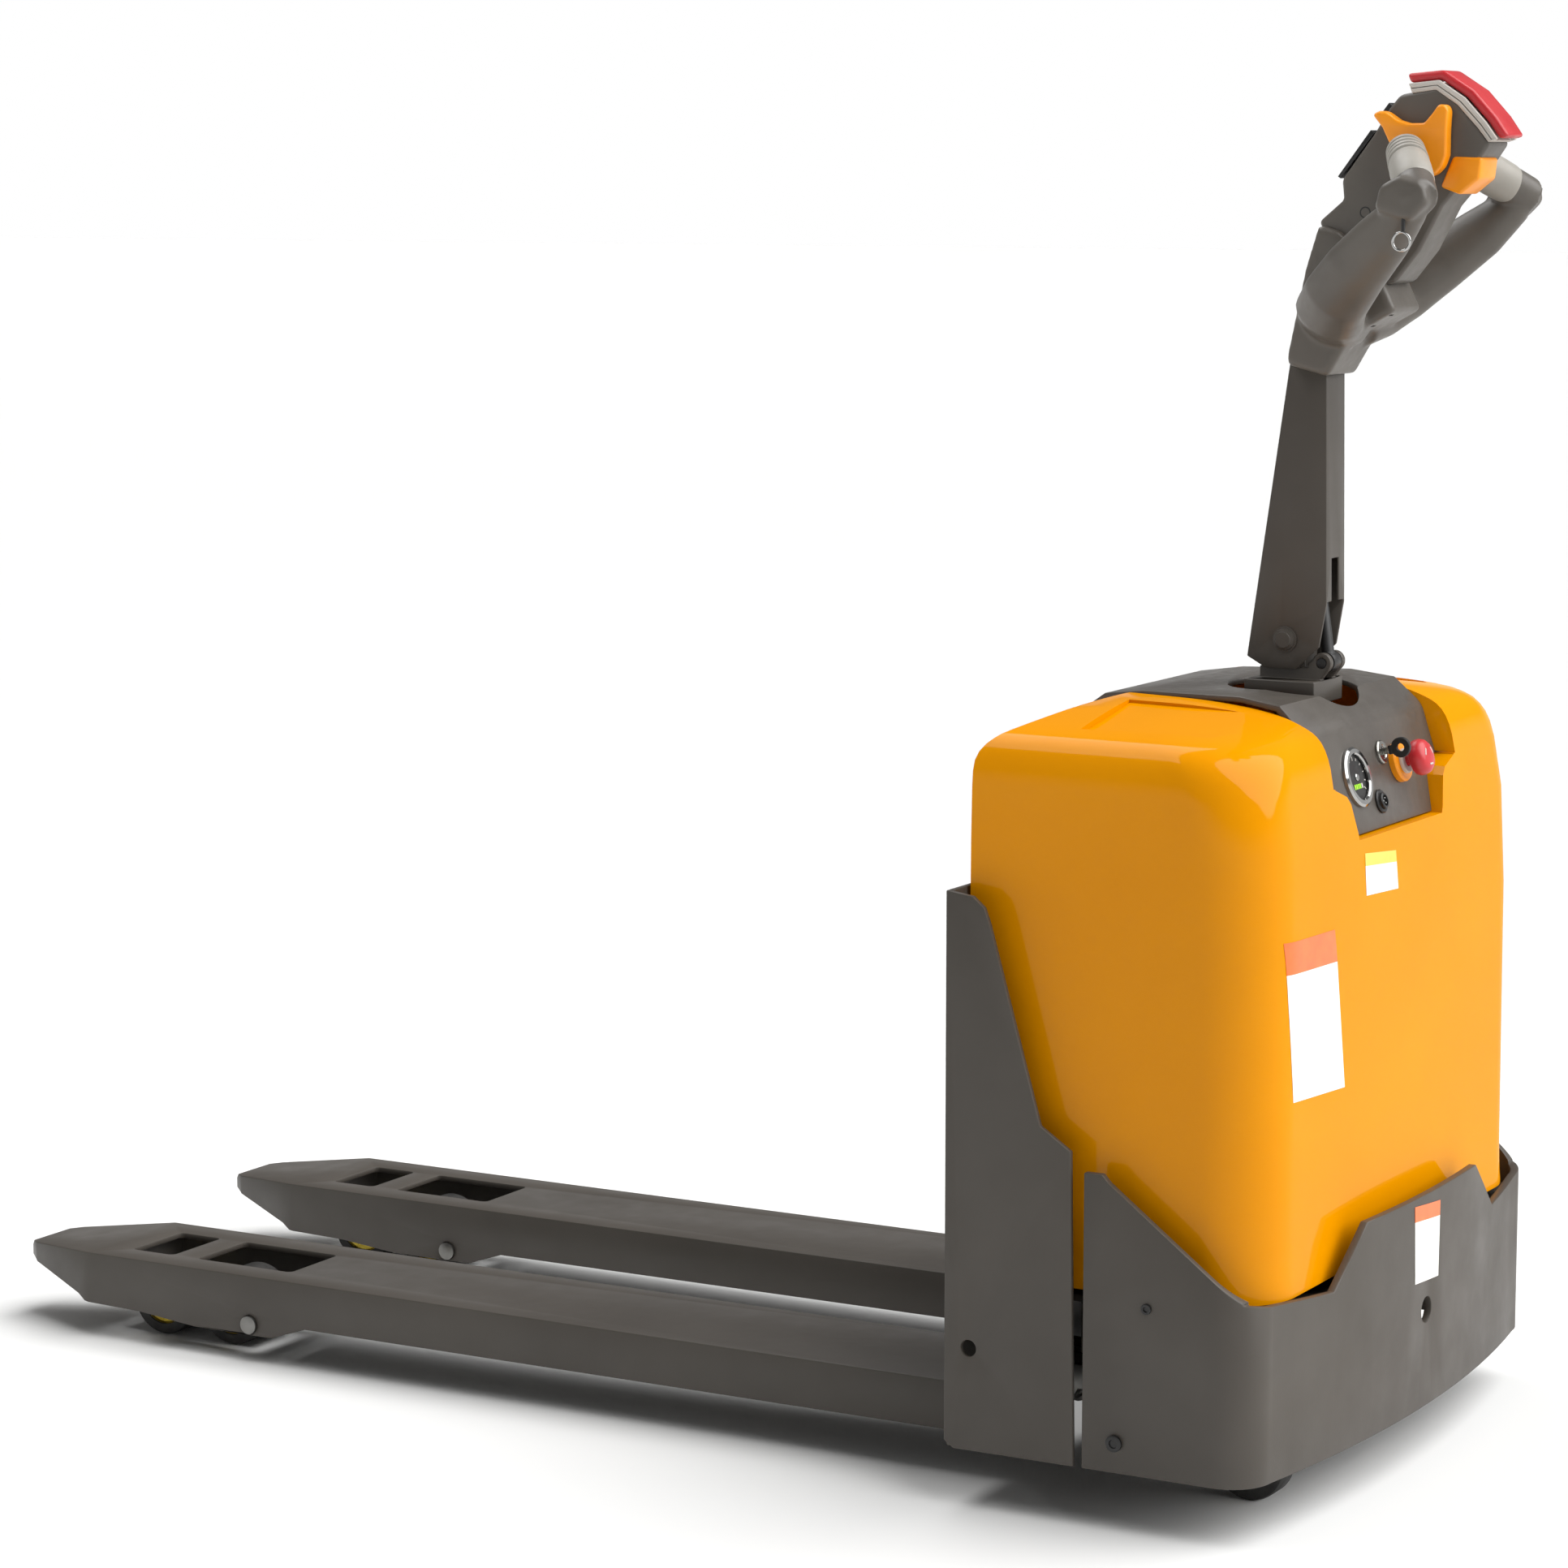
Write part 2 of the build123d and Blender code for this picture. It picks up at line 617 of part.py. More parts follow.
def fork(s):
    y = s * fork_y
    w = fork_width / 2
    x_tip = -fork_length
    pin_x = load_pin_x
    z_low = fork_top - fork_depth
    outline = [(0, z_low), (0, fork_top), (x_tip + tip_taper, fork_top),
               (x_tip + 6, fork_top - tip_drop), (x_tip, fork_top - tip_drop - 6),
               (x_tip, fork_top - tip_drop - 18), (x_tip + 14, fork_top - 30),
               (x_tip + 100, z_low), (x_tip + 112, z_low - 6), (x_tip + 190, z_low - 8),
               (pin_x - 75, side_lobe_z), (pin_x + 28, side_lobe_z), (pin_x + 72, z_low)]
    body = side_plate(outline, y - w, y + w)
    plan = plan_plate([(1, y - w), (1, y + w), (x_tip + tip_taper, y + w),
                       (x_tip + 18, y + tip_half), (x_tip, y + tip_half - 16),
                       (x_tip, y - tip_half + 16), (x_tip + 18, y - tip_half),
                       (x_tip + tip_taper, y - w)], 0, fork_top + 10)
    body = body & plan
    cavity = block(x_tip + 132, -14, y - w + fork_plate, y + w - fork_plate,
                   0, fork_top - fork_plate)
    cavity += block(-16, 1, y - 16, y + 16, 0, fork_top - fork_plate)
    body -= cavity
    for x0, x1 in ((pin_x - 183, pin_x - 128), (pin_x - 95, pin_x + 29)):
        hole = Pos((x0 + x1) / 2, y, fork_top) * extrude(
            RectangleRounded(x1 - x0, 2 * hole_half, 6), amount=20, both=True)
        body -= hole
    return body - rod_y(pin_x, pin_z, 10 + running, y - w - 1, y + w + 1)


load_pin_x = -fork_length + load_pin_from_tip
bogie_x = load_pin_x - sqrt(load_arm_length**2 - (pin_z - load_roller_r)**2)
bogie_z = load_roller_r
arm_y0 = 40.0
arm_plate = 5.0


def load_arm(s):
    """Pair of plates on the fork's pin, with an upper lug for the push rod."""
    y = s * fork_y
    arm = rod_y(load_pin_x, pin_z, 10, y - fork_width / 2 - 3, y + fork_width / 2 + 3)
    arm += rod_y(bogie_x, bogie_z, 4.5, y - arm_y0 - arm_plate, y + arm_y0 + arm_plate)
    lug = load_pin_x + lug_x
    arm += rod_y(lug, rod_z_level, lug_pin_r, y - arm_y0 - arm_plate, y + arm_y0 + arm_plate)
    for t in (-1, 1):
        y0, y1 = sorted((y + t * arm_y0, y + t * (arm_y0 + arm_plate)))
        plate = side_plate([(bogie_x, bogie_z - 12), (load_pin_x, pin_z - 20),
                            (load_pin_x + 16, pin_z), (lug + 12, rod_z_level),
                            (lug - 12, rod_z_level), (load_pin_x - 30, pin_z + 16),
                            (bogie_x, bogie_z + 12)], y0, y1)
        plate += rod_y(bogie_x, bogie_z, 12, y0, y1)
        plate += rod_y(load_pin_x, pin_z, 20, y0, y1)
        plate += rod_y(lug, rod_z_level, 13, y0, y1)
        arm += plate
    return arm


bogie_y0 = 32.0
bogie_plate = 5.0


def bogie(s):
    """Two side plates and two axles that carry a pair of load rollers."""
    y = s * fork_y
    body = None
    for t in (-1, 1):
        y0, y1 = sorted((y + t * bogie_y0, y + t * (bogie_y0 + bogie_plate)))
        plate = block(bogie_x - roller_spacing / 2, bogie_x + roller_spacing / 2, y0, y1,
                      bogie_z - 14, bogie_z + 14)
        for u in (-1, 1):
            plate += rod_y(bogie_x + u * roller_spacing / 2, bogie_z, 14, y0, y1)
        body = plate if body is None else body + plate
    for u in (-1, 1):
        body += rod_y(bogie_x + u * roller_spacing / 2, bogie_z, 8,
                      y - bogie_y0 - bogie_plate, y + bogie_y0 + bogie_plate)
    return body - rod_y(bogie_x, bogie_z, 4.5 + running, y - 60, y + 60)


def load_roller(s, u):
    y = s * fork_y
    x = bogie_x + u * roller_spacing / 2
    w = load_roller_width / 2
    roller = rod_y(x, bogie_z, load_roller_r, y - w, y + w)
    roller = chamfer(roller.edges().filter_by(GeomType.CIRCLE), 3)
    return roller - rod_y(x, bogie_z, 8 + running, y - w - 1, y + w + 1)


def push_rod(s):
    """Rod with a round eye on the load arm's lug and an upright pad that the crank pushes."""
    y = s * fork_y
    front, rear = load_pin_x + lug_x, shaft_x + lug_x - crank_pin_r - pad_gap
    rod = rod_x(y, rod_z_level, 8, front + 8, rear - 5)
    rod += rod_y(front, rod_z_level, 13, y - 11, y + 11)
    rod += block(rear - 10, rear, y - 11, y + 11, rod_z_level - 12, rod_z_level + 13.5)
    return rod - rod_y(front, rod_z_level, lug_pin_r + running, y - 20, y + 20)


def linkage_shaft():
    """Cross shaft with the two cranks that turn the lift into a push on the rods."""
    shaft = rod_y(shaft_x, shaft_z, shaft_r, -bearing_y - 12, bearing_y + 12)
    pin_x, crank_z = shaft_x + lug_x, shaft_z - lug_rise
    tip_x = shaft_x + load_arm_length
    for s in (-1, 1):
        y = s * fork_y
        for t in (-1, 1):
            y0, y1 = sorted((y + t * 14, y + t * 22))
            shaft += side_plate([(pin_x - 11, crank_z), (shaft_x - 12, shaft_z),
                                 (shaft_x, shaft_z + 12), (tip_x, shaft_z + 8),
                                 (tip_x, shaft_z - 8), (pin_x + 18, shaft_z - 14),
                                 (pin_x + 11, crank_z)], y0, y1)
            shaft += rod_y(pin_x, crank_z, 11, y0, y1)
            shaft += rod_y(shaft_x, shaft_z, 17, y0, y1)
        shaft += rod_y(pin_x, crank_z, crank_pin_r, y - 22, y + 22)
        shaft += rod_y(tip_x, shaft_z, crank_roller_r, y - 22, y + 22)
    return shaft


def side_bolts():
    """Heads of the small and the large bolt that hold each side of the skirt."""
    bolts = []
    for s in (-1, 1):
        y0, y1 = sorted((s * half_w, s * (half_w + 3)))
        bolts.append(rod_y(side_x + 66, deck_z + 19, 5, y0, y1))
        bolts.append(rod_y(side_x + 34, skirt_floor_gap + 29, 8, y0, y1))
    return group(bolts)


# ---- tiller ----
arm_x0 = steer_x - 40.0
arm_top_z = tiller_pivot_z + 264
arm_wall = 3.0


def arm_outline(inset):
    """Side outline of the tiller arm, wide at its foot and narrower at the head."""
    i = inset
    z = tiller_pivot_z
    return [(arm_x0 + i, z - 18 + i), (arm_x0 + 20, z - 29 + i), (arm_x0 + 52, z - 29 + i),
            (arm_x0 + 76 - i, z - 6), (arm_x0 + 83 - i, z + 36), (arm_x0 + 79 - i, arm_top_z + 20),
            (arm_x0 + 43 + i, arm_top_z + 20)]


def tiller_arm():
    """Folded steel channel, open at the foot, with a notch there that the spring swings into."""
    w = tiller_width / 2
    arm = side_plate(arm_outline(0), -w, w)
    hollow = side_plate(arm_outline(arm_wall), -w + arm_wall, w - arm_wall)
    hollow += block(arm_x0 - 5, arm_x0 + 100, -w + arm_wall, w - arm_wall,
                    tiller_pivot_z - 52, tiller_pivot_z + 38)
    notch = spring_tube_r + side_gap + 0.5
    hollow += block(arm_x0 + 60, arm_x0 + 100, -notch, notch,
                    tiller_pivot_z, tiller_pivot_z + 80)
    arm -= hollow
    arm += rod_y(steer_x, tiller_pivot_z, 18, -w, -lug_half - seam)
    arm += rod_y(steer_x, tiller_pivot_z, 18, lug_half + seam, w)
    return arm - rod_y(steer_x, tiller_pivot_z, pivot_r, -w - 1, w + 1)


def tiller_pivot_pin():
    w = tiller_width / 2
    pin = rod_y(steer_x, tiller_pivot_z, pivot_r, -w - 3, w + 3)
    pin += rod_y(steer_x, tiller_pivot_z, 13, -w - 6, -w)
    return pin + rod_y(steer_x, tiller_pivot_z, 13, w, w + 4)


def spring_point(share):
    """A point on the gas spring's axis, from its lower eye (0) to its upper eye (1)."""
    return (spring_x + (spring_top_x - spring_x) * share, 0,
            spring_z + (spring_top_z - spring_z) * share)


def spring_tube():
    tube = bar_between(spring_point(0.02), spring_point(0.55), spring_tube_r)
    tube -= bar_between(spring_point(0.12), spring_point(0.6), spring_rod_r + running)
    tube += rod_y(spring_x, spring_z, 10, -8.5, 8.5)
    return tube + rod_y(spring_x, spring_z, spring_pin_r, -ear_y1, ear_y1)


def spring_rod():
    rod = bar_between(spring_point(0.42), spring_point(1), spring_rod_r)
    return rod + rod_y(spring_top_x, spring_top_z, 9, -7, 7)


# ---- tiller head, laid out from the throttle axis ----
throttle_r = 7.0
elbow_x, elbow_y, elbow_z = head_x + 46, 142.0, head_z - 41
pod_half = 27.0
socket_half = 36.0
grip_in_y = 58.0
grip_out_y = 124.0
trim_height = 3.0
belly_travel = 3.0
belly_half = 22.0


def head_plate(points, half):
    """A side outline given from the throttle axis, as thick as twice the half width."""
    return side_plate([(head_x + u, head_z + v) for u, v in points], -half, half)


def grip_point(y):
    """Centre of the grip at the given distance from the truck's middle."""
    t = (y - grip_in_y) / (elbow_y - grip_in_y)
    return head_x + (elbow_x - head_x) * t, y, head_z + (elbow_z - head_z) * t


def pod_solid():
    """Pod's side outline: blunt rounded top, sloping rear face, narrow foot in the yoke."""
    return head_plate([(-64, -134), (-100, -67), (-75, -46), (-77, -27), (-45, 16), (-30, 40),
                       (-19, 53), (18, 59), (40, 44), (60, 22), (72, 7), (52, -22), (26, -52),
                       (4, -94), (-20, -124)], pod_half)


def head_pod():
    key_groove = bar_between((head_x + 79, 0, head_z + 83), (head_x - 1, 0, head_z - 22), 2.0)
    bore = rod_y(head_x, head_z, throttle_r + running, -pod_half - 10, pod_half + 10)
    return pod_solid() - key_groove - bore


def yoke_arm(s):
    """One round arm of the yoke, from the socket up and out to the end of the grip."""
    root = Vector(head_x - 64, s * 24, head_z - 154)
    knee = Vector(head_x + 19, s * 120, head_z - 112)
    tip = Vector(elbow_x, s * elbow_y, elbow_z)
    x, y, z = grip_point(grip_out_y)
    arm = bar_between((tip.X, tip.Y, tip.Z), (x, s * y, z), 19)
    for start, end, r0, r1 in ((root, knee, 30, 23), (knee, tip, 23, 19)):
        along = (end - start).normalized()
        arm += loft([Plane(origin=start, z_dir=along) * Circle(r0),
                     Plane(origin=end, z_dir=along) * Circle(r1)])
    arm += Pos(knee.X, knee.Y, knee.Z) * Sphere(23)
    return arm + Pos(tip.X, tip.Y, tip.Z) * Sphere(19.5)


def head_yoke():
    """Lower shell: socket over the arm, and two arms that spread to the grips."""
    yoke = head_plate([(-126, -207), (-130, -200), (-112, -112), (-100, -67), (-64, -94),
                       (-26, -124), (-14, -155), (-63, -178), (-86, -217)], socket_half)
    yoke += yoke_arm(-1)
    yoke += yoke_arm(1)
    w = tiller_width / 2 + 0.3
    low, high = arm_top_z - 26, arm_top_z + 20.5
    yoke -= side_plate([(arm_x0 + 30, low), (arm_x0 + 42.5, high), (arm_x0 + 79.5, high),
                        (arm_x0 + 84, low)], -w, w)
    return yoke - pod_solid()


def grip_sleeve(s):
    a = grip_point(grip_in_y)
    b = grip_point(grip_out_y)
    return bar_between((a[0], s * a[1], a[2]), (b[0], s * b[1], b[2]), grip_r)


def throttle_shaft():
    reach = grip_in_y - 13
    return rod_y(head_x, head_z, throttle_r, -reach, reach)


def butterfly(s):
    """Throttle wing: two thumb tabs above the shaft and a lobe below it."""
    y0, y1 = sorted((s * (pod_half + 1.5), s * (grip_in_y - 14)))
    wing = side_plate([(head_x + u, head_z + v) for u, v in (
        (-40, 34), (-26, 38), (-6, 26), (12, 26), (26, 44), (36, 40), (35, -4), (26, -22),
        (6, -28), (-22, 4))], y0, y1)
    return wing - rod_y(head_x, head_z, throttle_r, y0 - 1, y1 + 1)


def belly_line(lift):
    """Line over the top of the pod, from its front corner round to the operator's side."""
    return [(-8 - lift * 0.4, 57 + lift), (18 + lift * 0.3, 60 + lift),
            (41 + lift * 0.75, 45 + lift * 0.75), (62 + lift * 0.85, 23 + lift * 0.6),
            (belly_nose + lift, 9 + lift * 0.3)]


def belly_band(low, high, half):
    """The band between two such lines, of the given half width across the truck."""
    return head_plate(belly_line(high) + belly_line(low)[::-1], half)


def head_trim():
    return belly_band(-trim_height, trim_height, pod_half) - pod_solid()


def belly_button():
    return belly_band(trim_height + belly_travel + 0.5, belly_height, belly_half)


def display_plate():
    return head_plate([(-80, -26), (-83, -24), (-50, 20), (-46, 17)], 22)


def lift_rocker():
    return head_plate([(-41, 29), (-45, 33), (-35, 46), (-31, 42)], 14)


def lanyard_ring():
    return Pos(elbow_x - 10, -elbow_y - 12, elbow_z - 42) * Rot(90, 0, 0) * Torus(8.5, 1.4)


os.makedirs("parts", exist_ok=True)
save("chassis_frame", chassis_frame())
save("guide_rails", group([guide_rail(-1), guide_rail(1)]))
save("lift_cylinder", lift_cylinder())
save("lift_piston_rod", lift_piston_rod())
save("battery_left", battery(-1))
save("battery_right", battery(1))
save("motor_controller", motor_controller())
save("hydraulic_unit", hydraulic_unit())
save("hood", hood())
save("top_panel", top_panel())
save("battery_gauge", gauge())
save("key_switch", key_switch())
save("key", key())
save("panel_socket", panel_socket())
save("emergency_stop_base", estop_base())
save("emergency_stop_button", estop_button())
save("slew_ring", slew_ring())
save("drive_gearbox", drive_gearbox())
save("drive_motor", drive_motor())
save("steering_column", steering_column())
save("drive_wheel_hub", drive_wheel_hub())
save("drive_wheel_tyre", drive_wheel_tyre())
save("carriage_frame", carriage_frame())
save("slide_pads", slide_pads())
save("linkage_shaft", linkage_shaft())
save("side_bolts", side_bolts())
save("tiller_arm", tiller_arm())
save("tiller_pivot_pin", tiller_pivot_pin())
save("gas_spring_tube", spring_tube())
save("gas_spring_rod", spring_rod())
save("head_pod", head_pod())
save("head_yoke", head_yoke())
save("head_trim", head_trim())
save("belly_button", belly_button())
save("display_plate", display_plate())
save("lift_rocker", lift_rocker())
save("lanyard_ring", lanyard_ring())
save("throttle_shaft", throttle_shaft())
for side, s in (("left", -1), ("right", 1)):
    save(f"castor_fork_{side}", castor_fork(s))
    save(f"castor_wheel_{side}", castor_wheel(s))
    save(f"carriage_wing_{side}", carriage_wing(s))
    save(f"fork_{side}", fork(s))
    save(f"load_arm_{side}", load_arm(s))
    save(f"bogie_{side}", bogie(s))
    save(f"push_rod_{side}", push_rod(s))
    save(f"grip_{side}", grip_sleeve(s))
    save(f"butterfly_{side}", butterfly(s))
    save(f"front_roller_{side}", load_roller(s, -1))
    save(f"rear_roller_{side}", load_roller(s, 1))
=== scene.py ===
import bmesh
import bpy
import json
from math import atan2, cos, pi, radians, sin
from mathutils import Matrix, Vector


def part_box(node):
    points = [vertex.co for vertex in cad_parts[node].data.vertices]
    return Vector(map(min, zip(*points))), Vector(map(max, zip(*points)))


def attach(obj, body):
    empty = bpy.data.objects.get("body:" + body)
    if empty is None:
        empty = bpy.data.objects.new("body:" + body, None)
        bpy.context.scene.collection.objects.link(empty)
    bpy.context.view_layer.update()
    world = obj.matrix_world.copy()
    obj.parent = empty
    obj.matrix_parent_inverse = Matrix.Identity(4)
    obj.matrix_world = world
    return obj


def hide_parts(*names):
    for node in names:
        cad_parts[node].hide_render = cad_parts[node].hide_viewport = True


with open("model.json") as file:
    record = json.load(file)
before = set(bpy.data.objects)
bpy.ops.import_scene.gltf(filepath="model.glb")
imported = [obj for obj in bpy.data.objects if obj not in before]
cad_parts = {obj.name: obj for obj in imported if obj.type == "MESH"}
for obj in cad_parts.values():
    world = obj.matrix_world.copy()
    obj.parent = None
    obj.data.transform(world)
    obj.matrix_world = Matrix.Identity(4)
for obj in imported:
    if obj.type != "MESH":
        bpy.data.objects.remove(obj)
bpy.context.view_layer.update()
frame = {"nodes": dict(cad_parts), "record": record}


# ---------------------------------------------------------------- studio
# The truck stands on a pale floor in a white studio, lit softly from above and from the
# operator's side.  Sizes are millimetres from the fork heel, the truck's centre and the floor.
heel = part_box("carriage_frame")[0].x


def at(x, y, z):
    """A point in the scene, in metres, from millimetres."""
    return Vector((heel + x / 1000, y / 1000, z / 1000))


def srgb(code):
    """An sRGB hex colour as the linear numbers that a socket takes."""
    parts = [int(code[i:i + 2], 16) / 255 for i in (0, 2, 4)]
    return [c / 12.92 if c <= 0.04045 else ((c + 0.055) / 1.055) ** 2.4 for c in parts] + [1]


def add(tree, kind, inputs, **settings):
    """A shader node with its settings, and with its sockets set or linked."""
    node = tree.nodes.new("ShaderNode" + kind)
    for name, value in settings.items():
        setattr(node, name, value)
    for name, value in inputs.items():
        if isinstance(value, bpy.types.NodeSocket):
            tree.links.new(value, node.inputs[name])
        else:
            node.inputs[name].default_value = value
    return node


def new_material(name):
    """A material with an empty node tree."""
    material = bpy.data.materials.new(name)
    material.use_nodes = True
    material.node_tree.nodes.clear()
    return material, material.node_tree


def area_light(name, place, target, size, power, colour="ffffff"):
    """A rectangular lamp that faces its target."""
    light = bpy.data.lights.new(name, "AREA")
    light.shape = "RECTANGLE"
    light.size, light.size_y = size
    light.energy = power
    light.color = srgb(colour)[:3]
    lamp = bpy.data.objects.new(name, light)
    lamp.location = place
    lamp.rotation_euler = (target - place).to_track_quat("-Z", "Y").to_euler()
    bpy.context.scene.collection.objects.link(lamp)


def studio():
    """Camera, floor, a world that is bright at the horizon, a soft sun and a strip lamp."""
    camera = bpy.data.objects.new("camera", bpy.data.cameras.new("camera"))
    camera.location = at(1921.5, -4056.5, 1269.8)
    camera.rotation_euler = (radians(90 - 7.84), 0, radians(29.56))
    camera.data.sensor_width = 36
    camera.data.lens = 103.02
    bpy.context.scene.collection.objects.link(camera)
    bpy.context.scene.camera = camera

    bm = bmesh.new()
    bmesh.ops.create_grid(bm, x_segments=1, y_segments=1, size=60)
    mesh = bpy.data.meshes.new("floor")
    bm.to_mesh(mesh)
    bm.free()
    floor = bpy.data.objects.new("floor", mesh)
    bpy.context.scene.collection.objects.link(floor)
    paper, tree = new_material("pale studio paper")
    grain = add(tree, "TexNoise", {"Scale": 3.0, "Detail": 3.0})
    tint = add(tree, "MixRGB", {"Fac": grain.outputs["Fac"], "Color1": srgb("e7e7e6"),
                                "Color2": srgb("ebebea")})
    surface = add(tree, "BsdfPrincipled", {"Base Color": tint.outputs[0], "Roughness": 0.95,
                                           "Specular IOR Level": 0.1})
    add(tree, "OutputMaterial", {"Surface": surface.outputs[0]})
    mesh.materials.append(paper)

    world = bpy.data.worlds.new("studio")
    bpy.context.scene.world = world
    world.use_nodes = True
    sky = world.node_tree
    way = add(sky, "TexCoord", {})
    height = add(sky, "SeparateXYZ", {"Vector": way.outputs["Generated"]})
    glow = add(sky, "MapRange", {"Value": height.outputs["Z"], "From Min": 0.04,
                                 "From Max": 0.16, "To Min": 1.0, "To Max": 0.2})
    backdrop = sky.nodes["Background"]
    backdrop.inputs["Color"].default_value = srgb("ffffff")
    sky.links.new(glow.outputs[0], backdrop.inputs["Strength"])

    sun = bpy.data.lights.new("broad soft box, operator side", "SUN")
    sun.energy = 4.6
    sun.angle = radians(75)
    lamp = bpy.data.objects.new(sun.name, sun)
    lamp.rotation_euler = Vector((-1.0, -0.3, -1.1)).to_track_quat("-Z", "Y").to_euler()
    bpy.context.scene.collection.objects.link(lamp)
    area_light("strip over the forks", at(-700, 0, 2400), at(-500, 0, 0), (2.4, 0.9), 22)
    bpy.context.scene.view_settings.view_transform = "Standard"


studio()


# ---------------------------------------------------------------- welded steel parts
# Chassis, fork carriage, forks and tiller are welded from pressed steel plate, with edges
# eased by grinding, and sprayed with a dark warm grey powder coat that has a fine orange peel.
def bump(tree, scale_mm, depth_mm, detail=2.0, below=None):
    """A bump of noise whose grains are scale_mm across and depth_mm deep."""
    place = add(tree, "TexCoord", {})
    noise = add(tree, "TexNoise", {"Vector": place.outputs["Object"], "Detail": detail,
                                   "Scale": 1000 / scale_mm})
    inputs = {"Height": noise.outputs["Fac"], "Distance": depth_mm / 1000, "Strength": 1.0}
    if below:
        inputs["Normal"] = below.outputs[0]
    return add(tree, "Bump", inputs), place


def spread(tree, place, scale_mm, low, high, detail=3.0):
    """Noise with grains scale_mm across, spread between two values."""
    noise = add(tree, "TexNoise", {"Vector": place.outputs["Object"], "Detail": detail,
                                   "Scale": 1000 / scale_mm})
    return add(tree, "MapRange", {"Value": noise.outputs["Fac"], "From Min": 0.3,
                                  "From Max": 0.7, "To Min": low, "To Max": high})


def two_tone(tree, place, scale_mm, dark, light, detail=4.0):
    """A colour that wanders between two near shades over patches scale_mm across."""
    share = spread(tree, place, scale_mm, 0.0, 1.0, detail)
    return add(tree, "MixRGB", {"Fac": share.outputs[0], "Color1": srgb(dark),
                                "Color2": srgb(light)})


def powder_coat():
    """Sprayed polyester powder on steel: satin, with a pebbled skin about 2 mm across."""
    coat, tree = new_material("dark grey powder coat on steel")
    peel, place = bump(tree, 2.0, 0.05)
    dust, _ = bump(tree, 0.7, 0.015, below=peel)
    colour = two_tone(tree, place, 160, "423d37", "49443e")
    satin = spread(tree, place, 45, 0.42, 0.52)
    surface = add(tree, "BsdfPrincipled", {
        "Base Color": colour.outputs[0], "Roughness": satin.outputs[0],
        "Specular IOR Level": 0.45, "Normal": dust.outputs[0]})
    add(tree, "OutputMaterial", {"Surface": surface.outputs[0]})
    return coat


grey_coat = powder_coat()
record = frame["record"]
body_of_node = {n: b for b, nodes in record["behaviour"]["bodies"].items() for n in nodes}


def finish_mesh(bm, name, materials, smooth_angle=32):
    """Makes a mesh object of the bmesh, smooth except across edges sharper than the angle."""
    mesh = bpy.data.meshes.new(name)
    for face in bm.faces:
        face.smooth = True
    bm.to_mesh(mesh)
    bm.free()
    mesh.set_sharp_from_angle(angle=radians(smooth_angle))
    for material in materials:
        mesh.materials.append(material)
    piece = bpy.data.objects.new(name, mesh)
    bpy.context.scene.collection.objects.link(piece)
    return piece


def stand_for(piece, *nodes):
    """The piece replaces these CAD nodes, and rides on the body of the first."""
    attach(piece, body_of_node[nodes[0]])
    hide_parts(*nodes)


def dressed(node, material, edge_mm=0.8, sharp=35):
    """The CAD node's own shape with its sharp edges eased, in the given finish."""
    bm = bmesh.new()
    bm.from_mesh(frame["nodes"][node].data)
    bmesh.ops.remove_doubles(bm, verts=bm.verts, dist=2e-5)
    bmesh.ops.dissolve_limit(bm, angle_limit=radians(0.6), verts=bm.verts, edges=bm.edges)
    if edge_mm:
        edges = [e for e in bm.edges if len(e.link_faces) == 2
                 and e.calc_face_angle(0) > radians(sharp)
                 and e.calc_length() > 0.0002]
        bmesh.ops.bevel(bm, geom=edges, offset=edge_mm / 1000, segments=2, profile=0.5,
                        affect="EDGES", material=-1, clamp_overlap=False)
    bmesh.ops.triangulate(bm, faces=[f for f in bm.faces if len(f.verts) > 4])
    piece = finish_mesh(bm, node + "_finished", [material])
    stand_for(piece, node)
    return piece


for node in ("chassis_frame", "carriage_frame", "carriage_wing_left", "carriage_wing_right",
             "fork_left", "fork_right"):
    dressed(node, grey_coat, 1.2)


# ---------------------------------------------------------------- hood
# The hood is one glossy moulding of glass fibre with a yellow gel coat.  Its sides stand almost
# upright on a slightly flared foot, its rear corners are rounded, and its top is crowned, with
# a shallow field sunk in each half.
hood_high = 764.0
hood_wall = 4.0
hood_seam = 1.0                # all round the control panel
field_y, field_z = 150, 758.5  # inner edge of the sunk fields
field_lean = radians(7.9)      # the fields fall away towards the sides


def gel_coat():
    """Polished gel coat over glass fibre: deep gloss, with the slightest long ripple."""
    coat, tree = new_material("yellow gel coat on glass fibre")
    ripple, place = bump(tree, 14, 0.035, 1.0)
    colour = two_tone(tree, place, 220, "d58700", "db8d00")
    gloss = spread(tree, place, 60, 0.20, 0.27)
    surface = add(tree, "BsdfPrincipled", {
        "Base Color": colour.outputs[0], "Roughness": gloss.outputs[0],
        "Specular IOR Level": 0.0, "Coat Weight": 0.3, "Coat Roughness": 0.06,
        "Normal": ripple.outputs[0]})
    add(tree, "OutputMaterial", {"Surface": surface.outputs[0]})
    return coat


yellow_coat = gel_coat()


def box_mesh(x0, x1, y0, y1, z0, z1):
    """A bmesh block between two corners given in millimetres."""
    bm = bmesh.new()
    low, high = at(x0, y0, z0), at(x1, y1, z1)
    size = high - low
    bmesh.ops.create_cube(bm, size=1.0, matrix=Matrix.Translation((low + high) / 2)
                          @ Matrix.Diagonal((*size, 1.0)))
    return bm


def bevel(bm, edges, width_mm, segments):
    """Rounds the edges to the given width, never past a neighbouring edge."""
    bmesh.ops.bevel(bm, geom=edges, offset=width_mm / 1000, segments=segments, profile=0.5,
                    affect="EDGES", material=-1, clamp_overlap=True)


